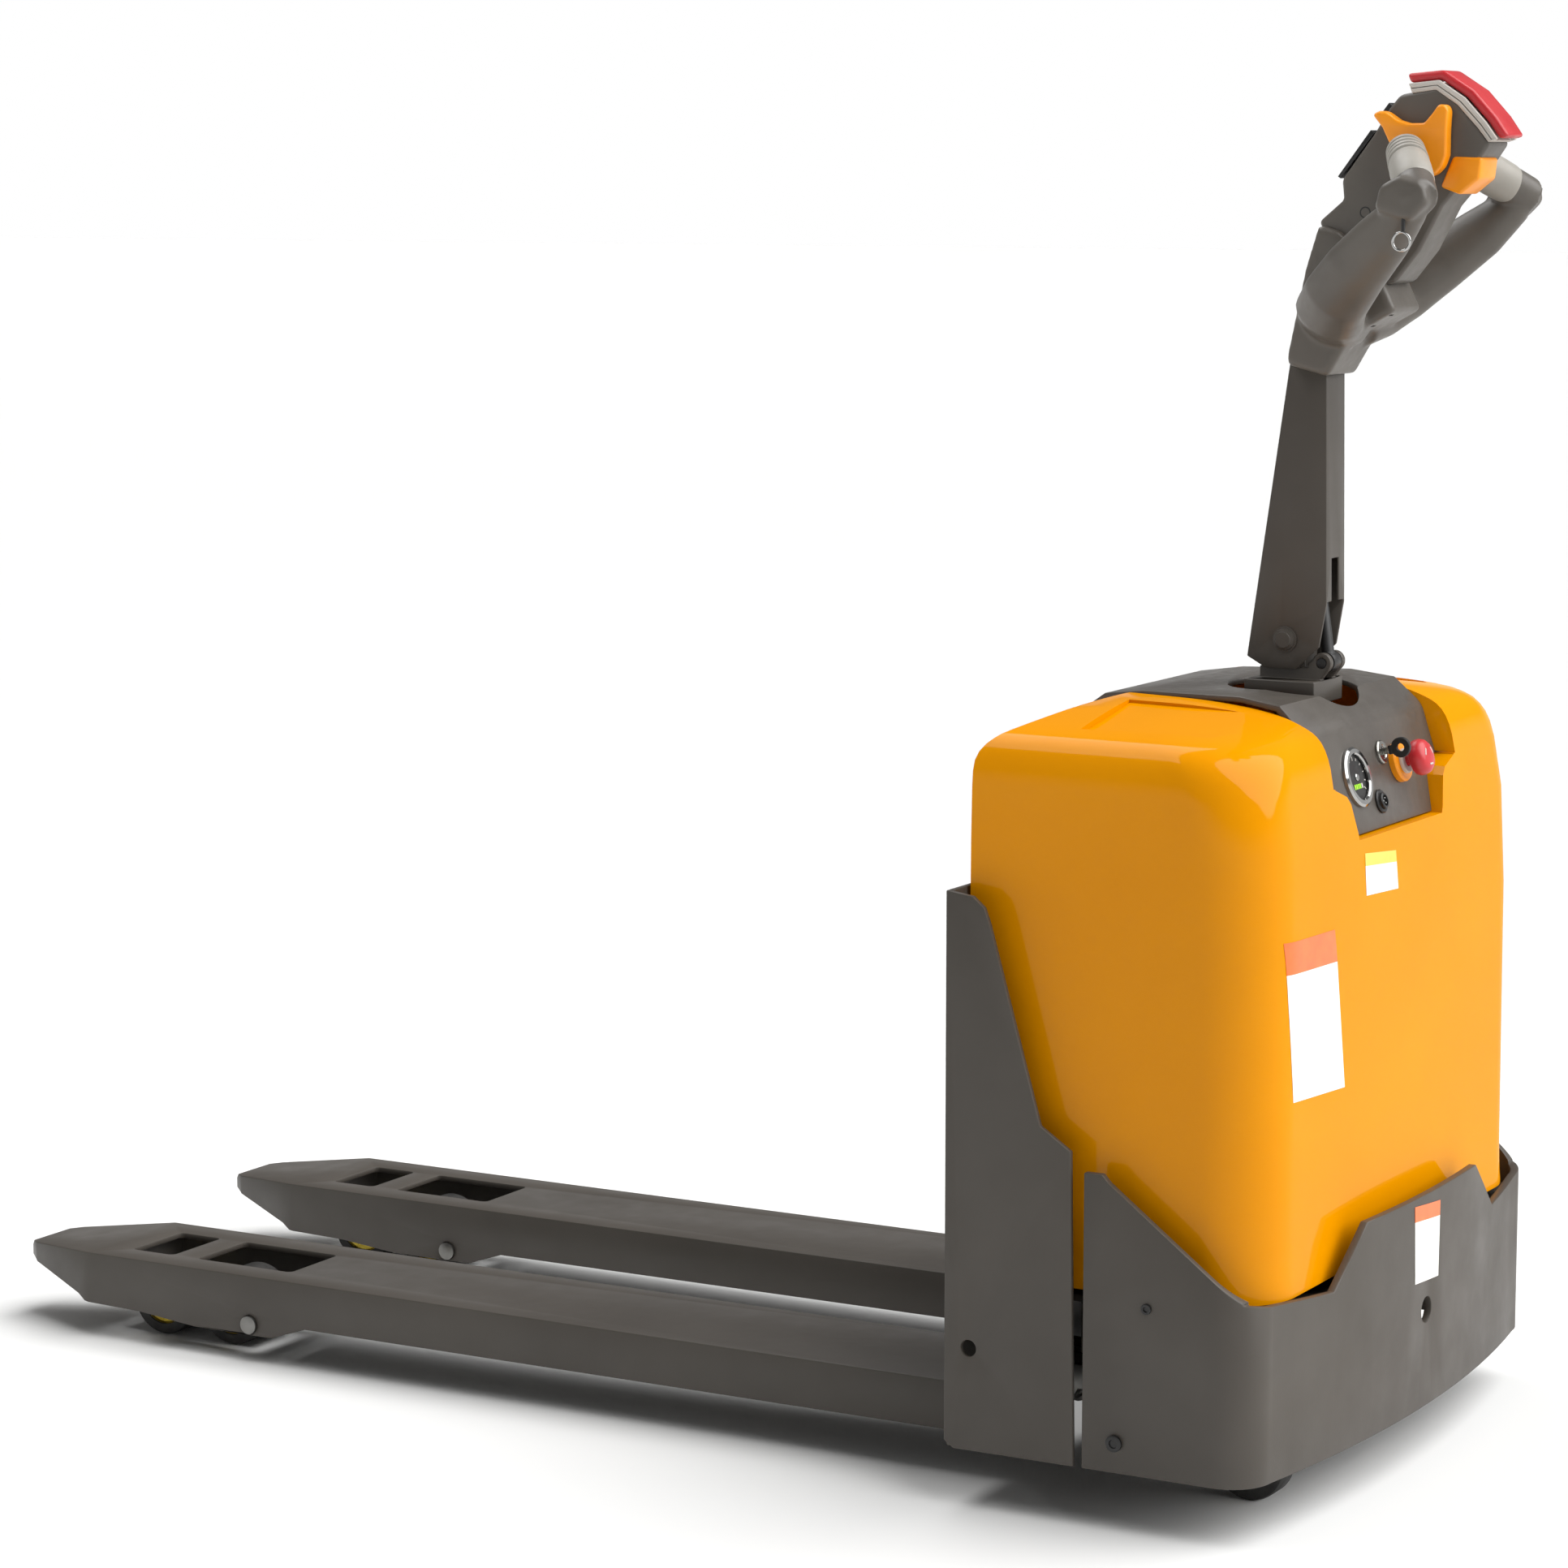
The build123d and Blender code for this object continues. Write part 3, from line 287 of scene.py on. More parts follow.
hood_outlines = (              # height, half width, front, rear and corner radius
    (222, 333.5, 10, 319, 70), (226, 333.5, 10, 319, 70), (236, 332, 10, 318, 68),
    (262, 330.5, 10, 317, 66), (540, 329.5, 10, 316, 66), (640, 328.5, 10, 312, 68),
    (690, 327, 10, 305, 72), (706, 325.5, 10, 302, 76), (716, 323.5, 11, 299, 80),
    (724, 320.5, 14, 295.5, 84), (731, 315.5, 19, 291, 88), (736, 309, 24, 286, 92),
    (739.5, 301, 28, 281, 94), (742.5, 290, 33, 275, 96), (745.5, 275, 38, 268, 98),
    (748.5, 257, 43, 260, 100), (751.5, 237, 48, 251, 100), (754.5, 215, 53, 241, 98),
    (757.5, 190, 59, 230, 94), (760, 164, 65, 219, 88), (762, 140, 71, 208, 78),
    (763.3, 118, 77, 198, 66), (763.8, 100, 83, 188, 56))


def hood_form(inset):
    """The hood's outer form, drawn in all round by the inset and closed below."""
    bm = bmesh.new()
    loops = []
    for z, half, front, rear, r in hood_outlines:
        half, front, rear, r = half - inset, front + inset, rear - inset, r - inset
        z -= inset * (1.6 if z > 640 else 4 if z < 230 else 0)
        line = [(front, half), (front, 0), (front, -half)]
        arc = [(rear - r + r * sin(radians(5 * k)), r - half - r * cos(radians(5 * k)))
               for k in range(19)]
        line += arc + [(rear, 0)] + [(x, -y) for x, y in arc[::-1]]
        verts = [bm.verts.new(at(x, y, z)) for x, y in line]
        loops.append([bm.edges.new(pair) for pair in zip(verts, verts[1:] + verts[:1])])
    for near, far in zip(loops, loops[1:]):
        bmesh.ops.bridge_loops(bm, edges=near + far)
    for loop in (loops[0], loops[-1]):
        bmesh.ops.contextual_create(bm, geom=loop)
    bmesh.ops.recalc_face_normals(bm, faces=bm.faces)
    return bm


def taken(piece):
    """The piece's mesh as a bmesh; the piece itself is put away."""
    bm = bmesh.new()
    bm.from_mesh(piece.data)
    bpy.data.objects.remove(piece)
    return bm


def cut(piece, cutters, operation="DIFFERENCE"):
    """Takes each cutter's volume out of the piece, and leaves its mesh plain again."""
    for cutter in cutters:
        modifier = piece.modifiers.new("cut", "BOOLEAN")
        modifier.object = cutter
        modifier.operation = operation
        modifier.solver = "EXACT"
        bpy.context.view_layer.update()
        view = piece.evaluated_get(bpy.context.evaluated_depsgraph_get())
        mesh = bpy.data.meshes.new_from_object(view)
        piece.modifiers.clear()
        old = piece.data
        piece.data = mesh
        bpy.data.meshes.remove(old)
        bpy.data.objects.remove(cutter)
    return piece


def slab(points, axis, low, high, name="slab", materials=(), edge_mm=0, segments=3):
    """A flat outline extruded square to its plane: axis is y for a side outline given in
    x and z, z for a plan outline in x and y, and x for a cross outline in y and z."""
    spot = {"y": lambda a, b, c: at(a, c, b), "z": lambda a, b, c: at(a, b, c),
            "x": lambda a, b, c: at(c, a, b)}[axis]
    bm = bmesh.new()
    face = bm.faces.new([bm.verts.new(spot(a, b, low)) for a, b in points])
    step = spot(0, 0, high) - spot(0, 0, low)
    made = bmesh.ops.extrude_face_region(bm, geom=[face])
    bmesh.ops.translate(bm, vec=step,
                        verts=[v for v in made["geom"] if isinstance(v, bmesh.types.BMVert)])
    bmesh.ops.recalc_face_normals(bm, faces=bm.faces)
    if edge_mm:
        edges = [e for e in bm.edges if e.calc_face_angle(0) > radians(25)]
        bevel(bm, edges, edge_mm, segments)
    return finish_mesh(bm, name, materials)


panel_front_x = 26.0
panel_plan = [(panel_front_x, -112), (272, -150), (360, -166), (360, 166), (272, 150),
              (panel_front_x, 112)]
panel_step_z, panel_low_z, panel_low_half = 688.0, 634.0, 118.0


def panel_cutters(gap):
    """The panel's outline in plan, and its tab down the back, grown by the gap."""
    g = gap
    plan = [(x - (g if x < 100 else 0), y + (g if y > 0 else -g)) for x, y in panel_plan]
    upper = slab(plan, "z", panel_step_z - g, hood_high + 40)
    half = panel_low_half + g
    lower = slab([(half + 34, panel_step_z + 12), (half + 34, panel_step_z - 1 - g),
                  (half + 8, panel_step_z - 10 - g), (half, panel_step_z - 18 - g),
                  (half - 12, panel_low_z - g), (-half + 12, panel_low_z - g),
                  (-half, panel_step_z - 18 - g), (-half - 8, panel_step_z - 10 - g),
                  (-half - 34, panel_step_z - 1 - g), (-half - 34, panel_step_z + 12)],
                 "x", 215, 380)
    return cut(upper, [lower], "UNION")


def hood():
    """Shell with sunk fields, a mouth for the fork carriage and a flanged panel cut-out."""
    shell = finish_mesh(hood_form(0), "hood_shell", [yellow_coat])
    for s in (-1, 1):
        field = slab([(92, s * 156), (98, s * 276), (226, s * 270), (256, s * 214),
                      (250, s * 168)], "z", field_z, 800)
        tilt = Matrix.Rotation(-s * field_lean, 4, Vector((1, 0, 0)))
        hinge = at(0, s * field_y, field_z)
        field.data.transform(Matrix.Translation(hinge) @ tilt @ Matrix.Translation(-hinge))
        cut(shell, [field])
    inner = finish_mesh(hood_form(hood_wall), "inner", [])
    cut(inner, [panel_cutters(hood_seam + hood_wall)])
    cut(shell, [inner])
    mouth = finish_mesh(box_mesh(-20, 30, -250, 250, 150, 584), "mouth", [])
    cut(shell, [mouth, panel_cutters(hood_seam)])
    bm = taken(shell)
    bmesh.ops.remove_doubles(bm, verts=bm.verts, dist=1e-5)
    shell = finish_mesh(bm, "hood_shell", [yellow_coat], 24)
    stand_for(shell, "hood")


hood()


# ---------------------------------------------------------------- control panel
# The panel is a moulded ABS cover with a fine leather grain.  It lies in the hood's cut-out,
# runs over the top as a wide strip and turns down at the back into the sloping control face.
def moulded_plastic(name, dark, light, grain_mm, depth_mm, rough=(0.5, 0.62)):
    """Injection-moulded plastic with a spark-eroded grain of the given size."""
    plastic, tree = new_material(name)
    grain, place = bump(tree, grain_mm, depth_mm, 3.0)
    colour = two_tone(tree, place, 70, dark, light)
    satin = spread(tree, place, 12, *rough)
    surface = add(tree, "BsdfPrincipled", {
        "Base Color": colour.outputs[0], "Roughness": satin.outputs[0],
        "Normal": grain.outputs[0]})
    add(tree, "OutputMaterial", {"Surface": surface.outputs[0]})
    return plastic


panel_plastic = moulded_plastic("dark grey grained ABS", "47423d", "4e4943", 1.1, 0.07,
                                (0.34, 0.44))
face_top, face_bottom = (272.0, 736.0), (308.0, 614.0)


def panel():
    """Bent strip with a bevelled crease, cut to its plan and pierced for the column."""
    curve = [(panel_front_x - 20, 716), (panel_front_x - 4, 744), (46, 760), (90, 766),
             (200, 768), (244, 762), face_top, face_bottom, (face_bottom[0] - 7, 612),
             (264, 730), (240, 756), (200, 762), (90, 760), (46, 754), (30, 738),
             (panel_front_x - 12, 710)]
    bm = taken(slab(curve, "y", -190, 190))
    top = at(face_top[0], 0, face_top[1])
    crease = [e for e in bm.edges if all((v.co - Vector((top.x, v.co.y, top.z))).length
                                         < 0.001 for v in e.verts)]
    bevel(bm, crease, 7, 5)
    skin = finish_mesh(bm, "skin", [])
    cut(skin, [panel_cutters(0)], "INTERSECT")
    bm = bmesh.new()
    bmesh.ops.create_cone(bm, cap_ends=True, segments=64, radius1=0.5, radius2=0.5, depth=0.2,
                          matrix=Matrix.Translation(at(196, 0, 740))
                          @ Matrix.Diagonal((0.124, 0.148, 1, 1)))
    cut(skin, [finish_mesh(bm, "slot", [])])
    bm = taken(skin)
    bmesh.ops.remove_doubles(bm, verts=bm.verts, dist=1e-5)
    bmesh.ops.dissolve_limit(bm, angle_limit=radians(0.5), verts=bm.verts, edges=bm.edges)
    rim = [e for e in bm.edges if len(e.link_faces) == 2 and e.calc_face_angle(0) > radians(50)]
    bmesh.ops.bevel(bm, geom=rim, offset=0.0016, segments=3, profile=0.5, affect="EDGES",
                    material=-1, clamp_overlap=False)
    stand_for(finish_mesh(bm, "control_panel", [panel_plastic], 28), "top_panel")


panel()


# ---------------------------------------------------------------- fittings on the control face
# Charge gauge with a chromed bezel, key switch with its key, a charging socket, and the
# emergency stop: a yellow plate, a grey collar and a red mushroom that presses in.
face_lean = atan2(face_top[1] - face_bottom[1], face_bottom[0] - face_top[0])


def on_face(y, z):
    """Places Z square to the control face, with its origin on the face at this y and z."""
    x = face_top[0] + (face_bottom[0] - face_top[0]) * (face_top[1] - z) / (
        face_top[1] - face_bottom[1])
    return Matrix.Translation(at(x, y, z)) @ Matrix.Rotation(face_lean, 4, "Y")


def across(x, z, y=0.0):
    """Places Z along the truck's width, for wheels and pins."""
    return Matrix.Translation(at(x, y, z)) @ Matrix.Rotation(radians(-90), 4, "X")


def outward(x, z, s):
    """Places Z square out of the truck's left side (-1) or right side (1)."""
    return across(x, z) @ (Matrix.Rotation(pi, 4, "X") if s < 0 else Matrix())


def turned_mesh(profile, place, steps=56):
    """A profile of radius and height, in millimetres, spun about the place's Z axis."""
    bm = bmesh.new()
    line = [bm.verts.new((r / 1000, 0, h / 1000)) for r, h in profile]
    edges = [bm.edges.new(pair) for pair in zip(line, line[1:])]
    bmesh.ops.spin(bm, geom=line + edges, axis=(0, 0, 1), cent=(0, 0, 0), angle=2 * pi,
                   steps=steps, use_merge=True)
    bmesh.ops.remove_doubles(bm, verts=bm.verts, dist=1e-6)
    bmesh.ops.recalc_face_normals(bm, faces=bm.faces)
    bm.transform(place)
    return bm


def turned(profile, place, name, materials, steps=56, smooth=32):
    """The same as a finished mesh object."""
    return finish_mesh(turned_mesh(profile, place, steps), name, materials, smooth)


def add_to(piece, bm, material=0, smooth=32):
    """Joins a bmesh to a piece, in one of the piece's materials."""
    for face in bm.faces:
        face.material_index = material
        face.smooth = True
    both = bmesh.new()
    both.from_mesh(piece.data)
    extra = bpy.data.meshes.new("extra")
    bm.to_mesh(extra)
    both.from_mesh(extra)
    both.to_mesh(piece.data)
    piece.data.set_sharp_from_angle(angle=radians(smooth))
    both.free()
    bm.free()
    bpy.data.meshes.remove(extra)
    return piece


def chunk(place, x, y, z0, z1, edge_mm=0.0, segments=2):
    """A block centred on the place's Z axis, x by y mm, from z0 to z1 along it."""
    bm = bmesh.new()
    bmesh.ops.create_cube(bm, size=1.0, matrix=Matrix.Translation((0, 0, (z0 + z1) / 2000))
                          @ Matrix.Diagonal((x / 1000, y / 1000, (z1 - z0) / 1000, 1)))
    if edge_mm:
        bevel(bm, bm.edges[:], edge_mm, segments)
    bm.transform(place)
    return bm


def plated_metal(name, tone, light, rough=(0.16, 0.26)):
    """Bright plated or machined metal, with faint handling marks that break the shine."""
    metal, tree = new_material(name)
    marks, place = bump(tree, 3.5, 0.01, 4.0)
    colour = two_tone(tree, place, 25, tone, light)
    shine = spread(tree, place, 9, *rough)
    surface = add(tree, "BsdfPrincipled", {
        "Base Color": colour.outputs[0], "Metallic": 1.0, "Roughness": shine.outputs[0],
        "Normal": marks.outputs[0]})
    add(tree, "OutputMaterial", {"Surface": surface.outputs[0]})
    return metal


bright_zinc = plated_metal("bright zinc plate on steel", "96958f", "a6a59f")
chrome = plated_metal("chromed brass bezel", "a8a8a6", "bcbcba", (0.06, 0.12))
black_plastic = moulded_plastic("black satin nylon", "141414", "1a1a1a", 0.9, 0.03, (0.36, 0.48))
red_plastic = moulded_plastic("red satin ABS", "b5232a", "c02a2f", 1.0, 0.02, (0.30, 0.38))
yellow_plastic = moulded_plastic("yellow-orange satin ABS", "f39200", "fb9b00", 1.0, 0.02,
                                 (0.32, 0.40))
pale_plastic = moulded_plastic("pale grey satin ABS", "b9b5ae", "c3bfb8", 1.0, 0.02, (0.40, 0.50))


def lit_green():
    """Small diodes behind the gauge's window, dimly lit."""
    lamp, tree = new_material("green diode behind acrylic")
    _, place = bump(tree, 2.0, 0.01)
    colour = two_tone(tree, place, 3, "4f9a1e", "a3d62a")
    surface = add(tree, "BsdfPrincipled", {"Base Color": colour.outputs[0], "Roughness": 0.3,
                                           "Emission Color": srgb("9ed427"),
                                           "Emission Strength": 0.5})
    add(tree, "OutputMaterial", {"Surface": surface.outputs[0]})
    return lamp


green_diode = lit_green()


def gauge():
    """Bezel ring, sunk dial with a scale of ticks, a row of diodes and a hub cap."""
    place = on_face(-57, hood_high - 78)
    dial = turned([(0, -26), (24, -26), (24.8, -1), (24.8, 2), (22, 2), (22, 0.6), (0, 0.6)],
                  place, "charge_gauge", [black_plastic, chrome, pale_plastic, green_diode])
    rim = turned_mesh([(22.2, 0.4), (22.2, 3.4), (23.4, 4.8), (27.5, 4.8), (29.6, 3.0),
                       (29.9, 0.4), (22.2, 0.4)], place)
    add_to(dial, rim, 1)
    for k in range(-5, 6):
        turn = Matrix.Rotation(radians(26 * k), 4, "Z") @ Matrix.Translation((-0.0185, 0, 0))
        add_to(dial, chunk(place @ turn, 4.2 if k % 5 == 0 else 2.6, 0.9, 0.4, 0.9), 2)
    for k in range(5):
        spot = Matrix.Translation((0.009, (k - 2) * 0.0042, 0))
        add_to(dial, chunk(place @ spot, 5.0, 2.8, 0.4, 1.1, 0.3), 3 if k < 4 else 2)
    add_to(dial, turned_mesh([(0, 2.4), (2.8, 2.4), (3.6, 1.6), (3.6, 0.4)], place, 24), 1)
    stand_for(dial, "battery_gauge")


def key_and_switch():
    """Knurled lock ring with a black strip painted on its face as the shaded keyway slot, and the
    key with its ring-shaped bow.
    """
    place = on_face(16, hood_high - 62)
    lock = turned([(0, -23), (8.8, -23), (8.8, 0.3), (11.8, 0.3), (11.8, 2.4), (10.6, 3.6),
                   (7.4, 3.6), (6.6, 2.6), (0, 2.6)], place, "key_switch_barrel",
                  [bright_zinc, black_plastic])
    for k in range(24):
        spot = Matrix.Rotation(radians(15 * k), 4, "Z") @ Matrix.Translation((0.0114, 0, 0))
        add_to(lock, chunk(place @ spot, 0.7, 1.3, 0.5, 2.6, 0.2), 0)
    # painted shade: a thin black plastic strip on the barrel's face stands in for the shaded inside
    # of the keyway slot
    add_to(lock, chunk(place, 11, 2.0, 2.4, 2.75), 1)
    stand_for(lock, "key_switch")
    blade = finish_mesh(chunk(place, 6.6, 1.8, -4, 12, 0.3), "ignition_key",
                        [bright_zinc, black_plastic])
    bow = turned_mesh([(4.0, -2.2), (9.4, -2.2), (10, -1.6), (10, 1.6), (9.4, 2.2), (4.0, 2.2),
                       (4.0, -2.2)], place @ Matrix.Translation((0, 0, 0.0225))
                      @ Matrix.Rotation(radians(90), 4, "X"), 40)
    add_to(blade, bow, 1)
    add_to(blade, chunk(place, 9, 4.4, 9.5, 14, 0.8), 1)
    stand_for(blade, "key")


def charging_socket():
    """Flanged socket with a raised rim and three contact pins."""
    place = on_face(-14, hood_high - 106)
    socket = turned([(0, -15), (7.8, -15), (7.8, 0.3), (11.8, 0.3), (11.8, 1.8), (10.8, 2.9),
                     (8.2, 2.9), (7.9, 5.2), (6.9, 5.9), (5.6, 5.9), (5.2, 3.2), (0, 3.2)],
                    place, "charging_socket", [black_plastic, chrome])
    for k in range(3):
        spot = Matrix.Rotation(radians(120 * k + 30), 4, "Z") @ Matrix.Translation((0.0028, 0, 0))
        add_to(socket, turned_mesh([(0, 5.4), (0.7, 5.4), (0.9, 5.1), (0.9, 3.0)],
                                   place @ spot, 12), 1)
    stand_for(socket, "panel_socket")


def emergency_stop():
    """Yellow plate and grey collar that stay, and the red mushroom that moves."""
    place = on_face(50, hood_high - 76)
    base = turned([(0, -25), (10.8, -25), (10.8, 0.3), (19.8, 0.3), (19.8, 5.6), (18.4, 7.6),
                   (12.5, 7.6), (10.8, 8.6)], place, "stop_collar",
                  [yellow_plastic, pale_plastic])
    add_to(base, turned_mesh([(10.8, 8.2), (12.6, 8.2), (12.6, 10.6), (11.6, 11.8), (6.2, 11.8),
                              (6.2, -20)], place), 1)
    stand_for(base, "emergency_stop_base")
    cap = turned([(0, -9), (5.6, -9), (5.6, 18.5), (13.6, 18.5), (16.6, 20.0), (17.9, 23),
                  (17.9, 27.5), (16.4, 31.8), (13.2, 34.6), (8.0, 35.8), (0, 36)],
                 place, "stop_mushroom", [red_plastic, pale_plastic], smooth=50)
    for k in range(3):
        turn = Matrix.Rotation(radians(120 * k), 4, "Z") @ Matrix.Translation((0.0085, 0, 0))
        add_to(cap, chunk(place @ turn, 2.0, 7.5, 34.6, 35.85, 0.3), 1)
    stand_for(cap, "emergency_stop_button")


gauge()
key_and_switch()
charging_socket()
emergency_stop()


# ---------------------------------------------------------------- labels
# Blank vinyl labels: a white field under a coloured band, laid on the back of the hood and of
# the skirt.  They carry no lettering.
def vinyl(name, dark, light):
    """Printed vinyl film: smooth, slightly glossy, with a trace of mottling."""
    film, tree = new_material(name)
    soft, place = bump(tree, 30, 0.02)
    colour = two_tone(tree, place, 18, dark, light)
    surface = add(tree, "BsdfPrincipled", {"Base Color": colour.outputs[0], "Roughness": 0.34,
                                           "Normal": soft.outputs[0]})
    add(tree, "OutputMaterial", {"Surface": surface.outputs[0]})
    return film


white_vinyl = vinyl("white vinyl film", "e9e7e0", "f4f3ee")
orange_vinyl = vinyl("orange vinyl film", "e2672c", "ea7334")
yellow_vinyl = vinyl("pale yellow vinyl film", "d8c64a", "e2d056")


def label(name, ground, corners, share, band_film):
    """A thin film laid on the ground piece: its corners are given in y and z, the top pair
    first, and are carried forward onto the surface.  The share is the band's part of it."""
    bm = bmesh.new()
    steps = 20
    (ya, za), (yb, zb), (yc, zc), (yd, zd) = corners
    grid = []
    for k in range(steps + 1):
        v = k / steps
        for n in range(steps + 1):
            u = n / steps
            y = (ya + (yb - ya) * u) * (1 - v) + (yd + (yc - yd) * u) * v
            z = (za + (zb - za) * u) * (1 - v) + (zd + (zc - zd) * u) * v
            _, place, normal, _ = ground.ray_cast(at(600, y, z), Vector((-1, 0, 0)))
            grid.append(bm.verts.new(place + normal * 0.0002))
    row = steps + 1
    for k in range(steps):
        for n in range(steps):
            a = k * row + n
            face = bm.faces.new([grid[a], grid[a + 1], grid[a + 1 + row], grid[a + row]])
            face.material_index = 1 if k < share * steps else 0
    bmesh.ops.recalc_face_normals(bm, faces=bm.faces)
    if sum(f.normal.x for f in bm.faces) < 0:
        bmesh.ops.reverse_faces(bm, faces=bm.faces[:])
    bmesh.ops.solidify(bm, geom=bm.faces[:], thickness=-0.0003)
    film = finish_mesh(bm, name, [white_vinyl, band_film])
    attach(film, "root")


hood_piece = bpy.data.objects["hood_shell"]
label("hood_label_large", hood_piece, [(-285, 560), (-173, 557), (-145, 401), (-268, 408)],
      0.2, orange_vinyl)
label("hood_label_small", hood_piece, [(-95, 619), (-17, 612), (-13, 574), (-93, 578)],
      0.3, yellow_vinyl)
label("skirt_label", bpy.data.objects["chassis_frame_finished"],
      [(-36, 265), (31, 259), (29, 183), (-32, 187)], 0.2, orange_vinyl)


# ---------------------------------------------------------------- load wheels and their linkage
# Load rollers have a black polyurethane tread on a yellow zinc plated hub with ball bearings.
# Arms, bogies, rods and the cross shaft are cut plate and bar, zinc plated or left as steel.
def tread_rubber():
    """Cast polyurethane: dark, dry, with a fine flow grain and scuffed rolling marks."""
    rubber, tree = new_material("black cast polyurethane")
    scuff, place = bump(tree, 1.4, 0.06, 4.0)
    colour = two_tone(tree, place, 14, "1b1a19", "2b2a28")
    dry = spread(tree, place, 8, 0.55, 0.75)
    surface = add(tree, "BsdfPrincipled", {"Base Color": colour.outputs[0],
                                           "Roughness": dry.outputs[0],
                                           "Normal": scuff.outputs[0]})
    add(tree, "OutputMaterial", {"Surface": surface.outputs[0]})
    return rubber


tread = tread_rubber()
yellow_zinc = plated_metal("yellow passivated zinc", "c9ab3c", "dcc455", (0.24, 0.36))
plain_steel = plated_metal("machined steel, lightly oiled", "6f6e6b", "7f7e7b", (0.30, 0.44))


def roller(node, x, z, y, radius, half, bore, chamfer, hub):
    """Tread with eased corners, and a dished hub with a bearing at each side."""
    place = across(x, z, y)
    r, w, c = radius - 0.1, half - 0.1, chamfer
    wheel = turned([(hub, -w + 1), (hub + 1, -w), (r - c, -w), (r - c * 0.3, -w + c * 0.3),
                    (r, -w + c), (r, w - c), (r - c * 0.3, w - c * 0.3), (r - c, w),
                    (hub + 1, w), (hub, w - 1)], place, node + "_wheel",
                   [tread, yellow_zinc, plain_steel])
    add_to(wheel, turned_mesh([(bore + 8, -w + 1.5), (hub - 2, -w + 2.6), (hub, -w + 1),
                               (hub, w - 1), (hub - 2, w - 2.6), (bore + 8, w - 1.5),
                               (bore + 8, -w + 1.5)], place), 1)
    add_to(wheel, turned_mesh([(bore, -w + 1), (bore + 2.4, -w + 0.8), (bore + 3, -w + 1.6),
                               (bore + 6, -w + 1.6), (bore + 6.6, -w + 0.8), (bore + 8.2, -w + 1),
                               (bore + 8.2, w - 1), (bore + 6.6, w - 0.8), (bore + 6, w - 1.6),
                               (bore + 3, w - 1.6), (bore + 2.4, w - 0.8), (bore, w - 1),
                               (bore, -w + 1)], place), 2)
    stand_for(wheel, node)


fork_y = 190
roller_r, roller_half = 40, 30
pin_x, arm_reach = -884.0, 107.3    # the load arm's pin, and its length to the bogie's pin
pin_drop = 1.6                 # from the arm's pin to the bogie's
roller_gap = 91.3
bogie_x = pin_x - (arm_reach ** 2 - pin_drop ** 2) ** 0.5
for side, y in (("left", -fork_y), ("right", fork_y)):
    for end, way in (("front", -1), ("rear", 1)):
        roller(f"{end}_roller_{side}", bogie_x + way * roller_gap / 2, roller_r, y, roller_r,
               roller_half, 8.1, 3, 28)
    dressed(f"load_arm_{side}", plain_steel, 0.6)
    dressed(f"bogie_{side}", plain_steel, 0.6)
    dressed(f"push_rod_{side}", plain_steel, 0.5)
dressed("linkage_shaft", plain_steel, 0.6)


# ---------------------------------------------------------------- drive unit and castors
# A turntable carries the cast gear case, the upright motor and the steered drive wheel; two
# small castors steady the truck.  Castings are sprayed dark grey and stay rough.
def cast_skin():
    """Sand-cast iron under thin paint: dull and pitted by the mould's sand."""
    iron, tree = new_material("dark painted sand-cast iron")
    pits, place = bump(tree, 2.6, 0.22, 5.0)
    colour = two_tone(tree, place, 40, "2b2b2b", "3a3937")
    dull = spread(tree, place, 12, 0.5, 0.7)
    surface = add(tree, "BsdfPrincipled", {"Base Color": colour.outputs[0],
                                           "Roughness": dull.outputs[0],
                                           "Normal": pits.outputs[0]})
    add(tree, "OutputMaterial", {"Surface": surface.outputs[0]})
    return iron


cast_iron = cast_skin()
steer_x, wheel_r = 196.0, 105.0


def bolt(into, place, radius, height, material=0):
    """A socket-head screw with a sunk hexagon, added to a piece."""
    r, h = radius, height
    add_to(into, turned_mesh([(0, h * 0.45), (r * 0.5, h * 0.45), (r * 0.55, h * 0.97),
                              (r * 0.9, h), (r, h * 0.88), (r, -0.5)], place, 24), material)


